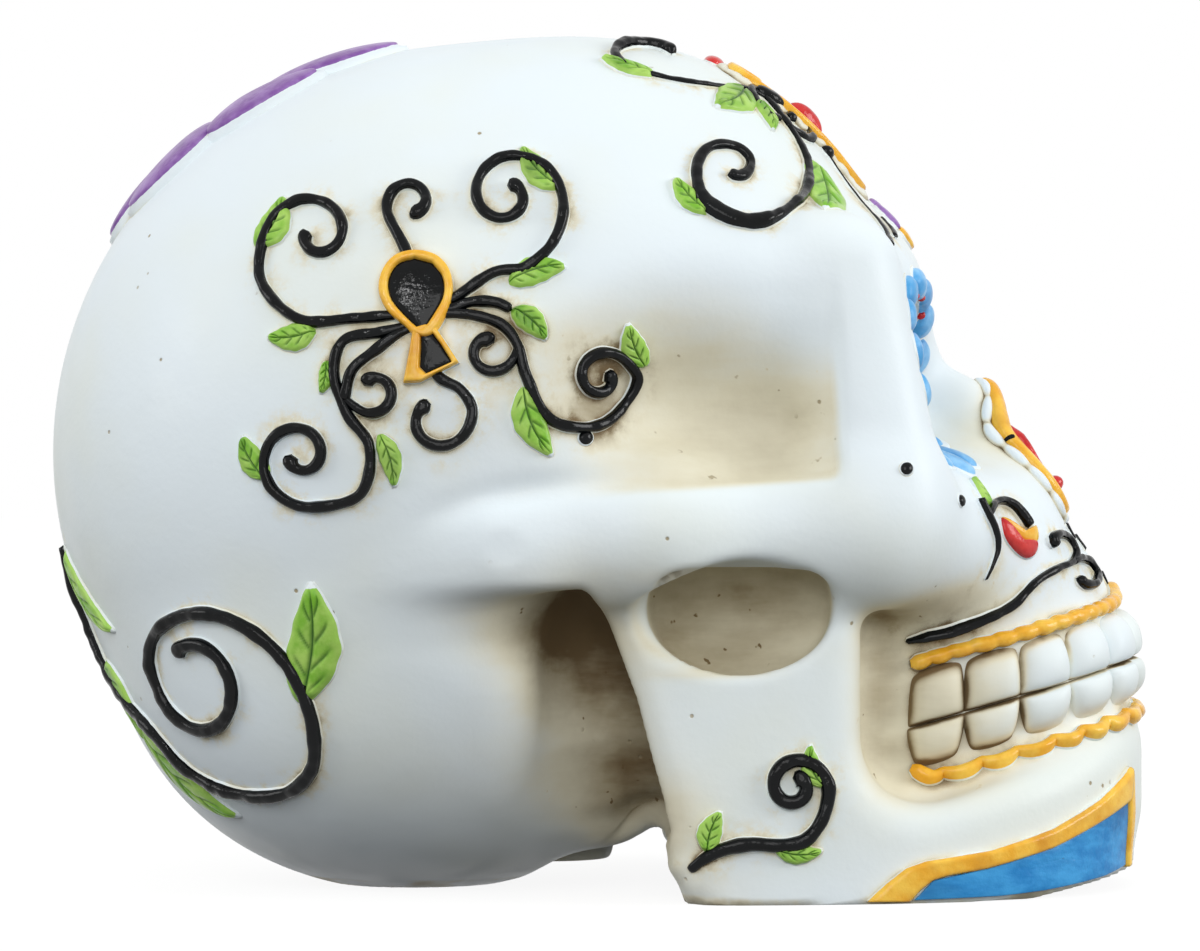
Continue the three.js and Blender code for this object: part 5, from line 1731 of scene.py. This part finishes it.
@dataclass(frozen=True)
class EyeRing:
    """The ring of petals round an eye socket."""

    petals: int = 14
    inner: float = 10.4
    outer: float = 14.4
    middle: Point = (-0.05, 0.05)

    def build(self, shop: Workshop) -> None:
        """Makes the petals on both sides: fans of the polar plane, r from the inner to a rounded outer edge.

        Args:
            shop: the workshop.
        """
        fans, knobs = [], []
        for number in range(self.petals):
            middle = 2 * math.pi * (number + 0.5) / self.petals
            half = math.pi / self.petals * 0.9
            t = np.linspace(0, 1, 9)
            outer_angle = middle + half * (1 - 2 * t)
            outer_reach = self.outer - 1.6 * np.abs(1 - 2 * t) ** 2.2
            inner_angle = middle - half * 0.8 * (1 - 2 * t[1:-1])
            inner_reach = np.full(7, self.inner)
            angle = np.concatenate([outer_angle, inner_angle])
            reach = np.concatenate([outer_reach, inner_reach])
            ring = np.stack([reach * np.cos(angle) * 0.97, reach * np.sin(angle)], axis=-1) / EYE.span
            ring = smooth(ring + np.array(self.middle), 0.35 / EYE.span, loop=True)[:-1]
            fans.append(pad(EYE, ring, 1.4, rows=10, ledge=0.25, skirt=0.4))
            edge = middle + math.pi / self.petals
            knob = np.array([math.cos(edge) * 0.97, math.sin(edge)]) * (self.inner + 0.5) / EYE.span
            knobs.append(dot(EYE, tuple(knob + np.array(self.middle)), 1.0, 1.0))
        shop.pair("eye_petals", fans, Slot.PALE_BLUE, "eye_petal_ring")
        shop.pair("eye_knobs", knobs, Slot.RED)


@dataclass(frozen=True)
class NoseFrame:
    """The yellow frame round the nose opening, with red bulges and white scallops."""

    half: tuple[Point, ...] = ((0, 0.52), (0.2, 0.36), (0.36, 0.08), (0.44, -0.24), (0.32, -0.46), (0.12, -0.46))
    notch: Point = (0, -0.36)

    def build(self, shop: Workshop) -> None:
        """Makes the frame, its bulges and its scallops.

        Args:
            shop: the workshop.
        """
        other = [(-x, y) for x, y in reversed(self.half[1:])]
        drawn = smooth(np.array([*self.half, self.notch, *other]), 0.3 / NOSE.span, loop=True)
        line = resample(NOSE.lay(drawn), 0.3)
        along = np.linspace(0, 1, len(line))
        top = 1 - ease(np.minimum(along, 1 - along), 0.02, 0.16)
        width = (2.3 + 0.7 * top) * (1 + waver(along * 60, 8, 0.08, 11))
        shop.make("nose_frame_rim", [bead(line, width, 1.6 + 0.2 * top, loop=True, skirt=0.3)], Slot.YELLOW, "nose_frame")
        outer = resample(NOSE.lay(smooth(drawn[:-1:6] * 1.13, 0.3 / NOSE.span, loop=True)), 0.3)
        along = np.linspace(0, 1, len(outer))
        lobe = np.abs(np.sin(math.pi * along * 16))
        flank = bead(outer, 1.2 + 0.7 * lobe, 0.7 + 0.3 * lobe, loop=True)
        flank.values = {"wash": 0.5 * (1 - lobe)[:-1, None] ** 3 * np.ones(flank.points.shape[:2])}
        shop.make("nose_frame_flank", [flank], Slot.BONE)
        red = self.half[1:4]
        inner = [Stroke(tuple((side * 0.8 * x, 0.8 * y + 0.02) for x, y in red), widths=((0, 0.5), (0.5, 1.0), (1, 0.6))) for side in (1, -1)]
        strips = [stroke.surface(NOSE, seed, 1.9, 2.2) for seed, stroke in enumerate(inner)]
        reds = [dot(NOSE, (side * 0.33, -0.3), 2.4, 2.4) for side in (1, -1)]
        shop.make("nose_reds", strips + reds, Slot.RED)
        shop.make("nose_dots", [dot(NOSE, (side * 0.37, 0.1), 0.9, 2.0) for side in (1, -1)], Slot.BLACK)


@dataclass(frozen=True)
class Mouth:
    """The teeth and the gum piping round the tooth arch."""

    middle: float = 0.263 * LENGTH
    front: float = (0.263 + 0.224) * LENGTH
    fall: float = 0.28
    teeth: int = 12
    bearing: float = 86.0

    def lay(self, along: Array, level: Array, lift: Array) -> Array:
        """Places points round the arch: a bearing from its axis, at a level that falls towards the rear.

        Args:
            along: shares of the way round, from 0 to 1.
            level: levels at the front in millimetres.
            lift: heights off the skin in millimetres.

        Returns:
            The places.
        """
        shares, bearings = self.table()
        bearing = np.radians(np.interp(along, shares, bearings))
        out = np.stack([np.cos(bearing), -np.sin(bearing), np.zeros_like(bearing)], axis=-1)
        origin = np.stack([np.full_like(level, self.middle), np.zeros_like(level), level], axis=-1)
        reach = SKIN.cast(origin, out)
        origin[..., 2] = level - self.fall * (self.front - reach[..., 0])
        spots = SKIN.cast(origin, out)
        return spots + SKIN.facing(spots) * lift[..., None]

    def table(self) -> tuple[Array, Array]:
        """Measures the arch's bearing against the share of the way round it.

        Returns:
            The shares and their bearings.
        """
        bearings = np.linspace(-self.bearing, self.bearing, 81)
        out = np.stack([np.cos(np.radians(bearings)), -np.sin(np.radians(bearings)), np.zeros(81)], axis=-1)
        origin = np.broadcast_to([self.middle, 0, 32.0], out.shape)
        ring = SKIN.cast(origin, out)
        along = np.concatenate([[0], np.cumsum(np.linalg.norm(np.diff(ring, axis=0), axis=1))])
        return along / along[-1], bearings

    def tooth(self, number: int, level: float, tall: float, up: int, narrow: float, seed: int) -> Surface:
        """Makes one tooth: a pillow (1 - |a|^p)^(1/2) across, round at the gum and sharp at the bite.

        Args:
            number: its number from one side.
            level: the level of its middle.
            tall: its height.
            up: 1 where its gum is above it, -1 where it is below.
            narrow: how much narrower it is at the gum.
            seed: the seed of its unevenness.

        Returns:
            The tooth's surface.
        """
        random = np.random.default_rng(seed)
        t = np.sin(np.linspace(-1, 1, 27) * math.pi / 2)
        a, b = np.meshgrid(t, t, indexing="ij")
        gum = (1 + b * up) / 2
        half = 0.5 / self.teeth * (1.05 - narrow * gum ** 1.6) * random.uniform(0.97, 1.03)
        middle = (number + 0.5) / self.teeth + random.uniform(-0.002, 0.002)
        round_b = b - up * 0.13 * gum * a * a
        side = np.sqrt(np.clip(1 - np.abs(a) ** 2.6, 0, 1))
        ends = np.sqrt(np.clip(1 - gum ** 3.2, 0, 1)) * np.sqrt(np.clip(1 - (1 - gum) ** 16, 0, 1))
        pillow = side ** 0.9 * ends * (0.86 + 0.14 * np.sin(math.pi * gum))
        lift = -0.6 + 3.1 * pillow
        along = middle + half * a
        places = self.lay(along, level + tall / 2 * round_b, lift)
        rear = ease(np.abs(along - 0.5), 0.16, 0.48)
        edge = 1 - ease(side, 0.35, 0.85)
        bite = 1 - ease(gum, 0.0, 0.08)
        foot = ease(gum, 0.72, 1.0)
        wash = 0.78 * rear - 0.3 + edge * (0.16 + 0.34 * rear) + 0.9 * bite + foot * (0.1 + 0.5 * rear)
        wash = np.clip(wash, -0.35, 1.0)
        return Surface(places, {"wash": wash})

    def piping(self, level: float, lobes: int, wave: float, width: float, bulge: float, peak: float, hook: float,
               seed: int) -> Surface:
        """Makes a wavy piping: a bead whose middle, width and height swell by |sin| at each lobe.

        Args:
            level: its level at the front.
            lobes: how many lobes it has.
            wave: how far its middle waves.
            width: its width.
            bulge: how much it swells.
            peak: how far it rises at the front.
            hook: how far it rises at its ends.
            seed: the seed of its unevenness.

        Returns:
            The piping's surface.
        """
        along = np.linspace(0.004, 0.996, 420)
        lobe = np.abs(np.sin(math.pi * along * lobes + waver(along * 100, seed, 0.35, 30)))
        outer = np.abs(along - 0.5)
        line = self.lay(along, level - wave * lobe + peak * np.exp(-(outer / 0.05) ** 2) + hook * ease(outer, 0.455, 0.5), np.zeros(420))
        line = resample(line, 0.3)
        along = np.linspace(0.004, 0.996, len(line))
        lobe = np.abs(np.sin(math.pi * along * lobes + waver(along * 100, seed, 0.35, 30)))
        end = np.sqrt(np.clip(np.minimum(along, 1 - along) / 0.012, 0.01, 1))
        wide = width * (1 - bulge / 2 + bulge * lobe) * (1 + waver(along * 100, seed + 1, 0.06, 9)) * end
        tall = 1.5 * (1 - bulge / 3 + bulge * lobe * 0.6) * end
        return bead(line, wide, tall, skirt=0.2)

    def build(self, shop: Workshop) -> None:
        """Makes both rows of teeth and both pipings.

        Args:
            shop: the workshop.
        """
        rows = (("upper", 35.35, 7.3, 1, 0.12, 100), ("lower", 28.75, 5.9, -1, 0.3, 200))
        for row, level, tall, up, narrow, seed in rows:
            teeth = [self.tooth(number, level, tall, up, narrow, seed + number) for number in range(self.teeth)]
            shop.make(f"{row}_tooth_row", teeth, Slot.BONE, f"{row}_teeth")
        shop.make("upper_piping", [self.piping(40.2, 30, 0.2, 2.0, 0.2, 1.6, 0.0, 5)], Slot.YELLOW, "upper_gum_piping")
        shop.make("lower_piping", [self.piping(24.5, 19, 0.8, 2.0, 0.45, 0.3, 2.2, 6)], Slot.YELLOW, "lower_gum_piping")


@dataclass(frozen=True)
class Chin:
    """The blue panel and its yellow border on each side of the chin."""

    over: tuple[Point, ...] = (
        (-0.471, -0.172), (-0.42, -0.12), (-0.363, -0.073), (-0.305, -0.053), (-0.104, -0.026), (0.113, 0.03),
        (0.327, 0.113), (0.44, 0.17), (0.505, 0.205),
    )
    under: tuple[Point, ...] = (
        (-0.35, -0.174), (-0.32, -0.14), (-0.285, -0.112), (-0.24, -0.1), (-0.12, -0.083), (0.113, -0.028),
        (0.314, 0.04), (0.42, 0.075), (0.485, 0.095),
    )
    stripe: tuple[Point, ...] = ((0.478, 0.14), (0.482, 0.05), (0.488, -0.04), (0.492, -0.108))
    stripe_front: tuple[Point, ...] = ((0.512, 0.19), (0.522, 0.05), (0.526, -0.04), (0.526, -0.1))
    panel: tuple[Point, ...] = (
        (-0.34, -0.17), (-0.285, -0.112), (-0.12, -0.08), (0.113, -0.024), (0.314, 0.044), (0.478, 0.1),
        (0.486, -0.02), (0.488, -0.1), (0.35, -0.125), (0.219, -0.14), (0.08, -0.155), (-0.07, -0.165),
    )

    def build(self, shop: Workshop) -> None:
        """Makes the border and the panel on both sides.

        Args:
            shop: the workshop.
        """
        parts = [
            band(CHIN, np.array(self.over), np.array(self.under), 1.15, power=8),
            band(CHIN, np.array(self.stripe), np.array(self.stripe_front), 1.1, power=6),
        ]
        shop.pair("chin_border", parts, Slot.YELLOW, "chin_border")
        ring = resample(np.array([*self.panel, self.panel[0]]), 0.5 / CHIN.span)[:-1]
        shop.pair("chin_panel", [pad(CHIN, ring, 0.75, power=8, middle=(0.15, -0.06), low=0.6, skirt=0.15)], Slot.BLUE, "chin_panel")


@dataclass(frozen=True)
class Flower:
    """A flower of separate petals round a knob."""

    name: str
    sketch: Sketch
    petals: int
    height: float
    wide: float = 1.0
    ledge: float = 0.25
    skirt: float = 0.4
    other: tuple[int, ...] = ()

    def build(self, shop: Workshop) -> None:
        """Makes the petals and the knob.

        Args:
            shop: the workshop.
        """
        shapes = []
        for number in range(self.petals):
            turn = 2 * math.pi * (number + 0.25) / self.petals
            t = np.linspace(0, 2 * math.pi, 22, endpoint=False)
            x = 0.3 + 0.2 * np.cos(t)
            y = (0.3 + 0.2 * np.cos(t)) * math.tan(math.pi / self.petals) * 1.05 * np.sin(t)
            ring = np.stack([x * math.cos(turn) - y * math.sin(turn), x * math.sin(turn) + y * math.cos(turn)], axis=-1)
            ring = ring * np.array([self.wide, 1])
            shapes.append(pad(self.sketch, ring, self.height, low=self.height * 0.6, ledge=self.ledge, skirt=self.skirt))
        main = [shape for number, shape in enumerate(shapes) if number not in self.other]
        shop.make(f"{self.name}_petals", main, Slot.PURPLE, self.name)
        if self.other:
            shop.make(f"{self.name}_other_petals", [shapes[number] for number in self.other], Slot.YELLOW)
        shop.make(f"{self.name}_knob", [dot(self.sketch, (0, 0), 0.16 * self.sketch.span, self.height * 0.9)], Slot.YELLOW)


@dataclass(frozen=True)
class BrowHeart:
    """The heart on the forehead and its rim."""

    half: tuple[Point, ...] = ((0, -0.52), (0.2, -0.28), (0.33, 0), (0.35, 0.26), (0.25, 0.43), (0.1, 0.42))
    notch: Point = (0, 0.28)

    def build(self, shop: Workshop) -> None:
        """Makes the heart and its rim.

        Args:
            shop: the workshop.
        """
        other = [(-x, y) for x, y in reversed(self.half[1:])]
        whole = np.array([*self.half, self.notch, *other])
        line = resample(HEART_SKETCH.lay(smooth(whole, 0.3 / HEART_SKETCH.span, loop=True)), 0.3)
        shop.make("heart_rim", [bead(line, np.full(len(line), 1.5), np.full(len(line), 1.5), loop=True, skirt=0.3)], Slot.YELLOW, "forehead_heart_rim")
        bank = smooth(whole * 1.07, 0.3 / HEART_SKETCH.span, loop=True)
        line = resample(HEART_SKETCH.lay(bank), 0.3)
        along = np.arange(len(line)) * 0.3
        bank = bead(line, 2.2 * (1 + waver(along, 31, 0.2, 6)), 0.75 * (1 + waver(along, 32, 0.25, 5)), loop=True)
        bank.values = {"wash": 0.25 * np.ones(bank.points.shape[:2])}
        shop.make("heart_bank", [bank], Slot.BONE)
        ring = smooth(whole * 0.88, 0.4 / HEART_SKETCH.span, loop=True)[:-1]
        turn = np.linspace(0, 2 * math.pi, 24, endpoint=False)
        flame = np.stack([0.15 * np.cos(turn), 0.54 + 0.06 * np.sin(turn)], axis=-1)
        reds = [
            pad(HEART_SKETCH, ring, 1.25, middle=(0, 0), skirt=0.1),
            pad(HEART_SKETCH, ring[::2] * 0.3 + np.array([0, -0.04]), 2.6, middle=(0, -0.04), skirt=0.1),
            pad(HEART_SKETCH, flame, 1.3, rows=8),
        ]
        shop.make("heart", reds, Slot.RED, "forehead_heart")


@dataclass(frozen=True)
class Stopper:
    """The rubber stopper in the base, and the moulded collar round the pour hole."""

    slot_width: float = 1.5
    slot_depth: float = 1.0
    collar: float = 2.1
    collar_rise: float = 6.0

    def build(self, shop: Workshop) -> None:
        """Makes the stopper, a lathe form with a slot across its face, and the collar, a rounded ring.

        Args:
            shop: the workshop.
        """
        low, high = (np.array(corner) / MM - shop.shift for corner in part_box("pour_hole_stopper"))
        middle, radius = (low + high) / 2, (high[0] - low[0]) / 2
        turn = np.linspace(0, 2 * math.pi, 64, endpoint=False)[:, None]
        reach = np.concatenate([np.linspace(0.02, radius - 0.6, 24), radius - 0.6 + 0.6 * np.sin(np.linspace(0.2, 1.57, 6)), [radius, radius, 0.02]])
        level = np.concatenate([np.zeros(24), 0.6 - 0.6 * np.cos(np.linspace(0.2, 1.57, 6)), [2.0, high[2] - low[2], high[2] - low[2]]])
        x, y = reach * np.cos(turn), reach * np.sin(turn)
        slot = self.slot_depth * (1 - ease(np.abs(y), self.slot_width / 2 - 0.15, self.slot_width / 2 + 0.15)) * (level < 0.1) * (reach < radius - 0.8)
        body = np.stack([x + middle[0], y + middle[1], low[2] + level + slot], axis=-1)
        shop.make("stopper", [Surface(body, {"paint": np.ones(x.shape)}, round_rows=True)], Slot.STOPPER, "pour_hole_stopper", closed=True)
        angle = np.linspace(0, 2 * math.pi, 28, endpoint=False)
        wide = self.collar / 2
        ring = radius + 0.15 + wide * (1 - np.sign(np.cos(angle)) * np.abs(np.cos(angle)) ** 0.5)
        rise = self.collar_rise / 2 * (1 + np.sign(np.sin(angle)) * np.abs(np.sin(angle)) ** 0.5)
        flare = 1 + 0.1 * rise / self.collar_rise
        points = np.stack([
            middle[0] + ring * flare * np.cos(turn), middle[1] + ring * flare * np.sin(turn),
            low[2] - 0.25 + rise * np.ones_like(turn),
        ], axis=-1)
        collar = Surface(points, {"wash": 0.3 * np.ones(points.shape[:2])}, round_rows=True, round_columns=True)
        shop.make("pour_hole_collar", [collar], Slot.BONE, closed=True)


# The stage, the light and the camera.

@dataclass(frozen=True)
class Studio:
    """A pale floor, soft light and the camera at the photograph's place."""

    distance: float = 0.7
    eye: float = 0.0568
    lens: float = 150.0

    def backdrop(self) -> None:
        """Makes the pale floor, which the camera sees as white but for the object's shadow."""
        size = 6.0
        mesh = bpy.data.meshes.new("floor")
        corners = [(-size, -size, 0), (size, -size, 0), (size, size, 0), (-size, size, 0)]
        mesh.from_pydata(corners, [], [(0, 1, 2, 3)])
        floor = bpy.data.objects.new("floor", mesh)
        bpy.context.scene.collection.objects.link(floor)
        material, shader = new_material("pale_floor")
        shader.inputs["Roughness"].default_value = 0.8
        path = node(material, "ShaderNodeLightPath")
        seen = math_node(material, "MAXIMUM", path.outputs["Is Camera Ray"], path.outputs["Is Transmission Ray"])
        seen = math_node(material, "MAXIMUM", seen, path.outputs["Is Glossy Ray"])
        material.node_tree.links.new(mix(material, seen, linear("202020"), linear("e8e8e6")), shader.inputs["Base Color"])
        glow = node(material, "ShaderNodeEmission", None, Color=(1, 1, 1, 1), Strength=1.085).outputs[0]
        share = math_node(material, "MULTIPLY", seen, 0.84)
        blend = node(material, "ShaderNodeMixShader", None, Fac=share, in1=shader.outputs[0], in2=glow)
        material.node_tree.links.new(blend.outputs[0], material.node_tree.nodes["Material Output"].inputs["Surface"])
        mesh.materials.append(material)

    def light(self, name: str, at: tuple[float, float, float], size: float, power: float, colour=(1, 1, 1)) -> None:
        """Hangs a soft box that looks at the skull.

        Args:
            name: its name.
            at: its place in metres.
            size: its side in metres.
            power: its power in watts.
            colour: its colour.
        """
        lamp = bpy.data.lights.new(name, "AREA")
        lamp.shape = "SQUARE"
        lamp.size = size
        lamp.energy = power
        lamp.color = colour
        hung = bpy.data.objects.new(name, lamp)
        hung.location = at
        aim = Vector((0, 0, 0.06)) - Vector(at)
        hung.rotation_euler = aim.to_track_quat("-Z", "Y").to_euler()
        bpy.context.scene.collection.objects.link(hung)

    def build(self) -> None:
        """Makes the stage, the lamps, the world and the camera."""
        self.backdrop()
        self.light("near_box", (0.0, -1.4, 0.55), 0.8, 6.4)
        self.light("spark_box", (-0.35, -0.95, 0.75), 0.1, 0.9)
        self.light("front_box", (1.3, -0.3, 0.5), 0.6, 8.4)
        self.light("side_box", (-1.3, -0.3, 0.55), 0.6, 4.6)
        scene = bpy.context.scene
        world = bpy.data.worlds.new("studio")
        scene.world = world
        world.use_nodes = True
        nodes, links = world.node_tree.nodes, world.node_tree.links
        path = nodes.new("ShaderNodeLightPath")
        both = nodes.new("ShaderNodeMath")
        both.operation = "MAXIMUM"
        links.new(path.outputs["Is Camera Ray"], both.inputs[0])
        links.new(path.outputs["Is Transmission Ray"], both.inputs[1])
        seen = nodes.new("ShaderNodeMath")
        seen.operation = "MAXIMUM"
        links.new(both.outputs[0], seen.inputs[0])
        links.new(path.outputs["Is Glossy Ray"], seen.inputs[1])
        strength = nodes.new("ShaderNodeMapRange")
        links.new(seen.outputs[0], strength.inputs["Value"])
        strength.inputs["To Min"].default_value = 0.64
        strength.inputs["To Max"].default_value = 1.0
        nodes["Background"].inputs["Color"].default_value = (1, 1, 1, 1)
        links.new(strength.outputs[0], nodes["Background"].inputs["Strength"])
        data = bpy.data.cameras.new("camera")
        data.lens = self.lens
        data.sensor_width = 36.0
        camera = bpy.data.objects.new("camera", data)
        camera.location = (0, -self.distance, self.eye)
        camera.rotation_euler = (math.pi / 2, 0, 0)
        scene.collection.objects.link(camera)
        scene.camera = camera
        scene.view_settings.view_transform = "Standard"


def main() -> None:
    """Builds every piece in order."""
    logging.basicConfig(level=logging.INFO)
    Studio().build()
    shop = Workshop()
    Shell().build(shop)
    TempleOrnament().build(shop)
    for scroll in SCROLLS:
        scroll.build(shop)
    CheekDrop().build(shop)
    EyeRing().build(shop)
    NoseFrame().build(shop)
    Mouth().build(shop)
    Chin().build(shop)
    BrowHeart().build(shop)
    Flower("crown_flower", CROWN, 7, 2.0, 0.6, 0.8, 1.3).build(shop)
    Flower("brow_flower", BROW, 5, 1.2, other=(3, 4)).build(shop)
    Stopper().build(shop)
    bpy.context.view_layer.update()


if __name__ == "__main__":
    main()
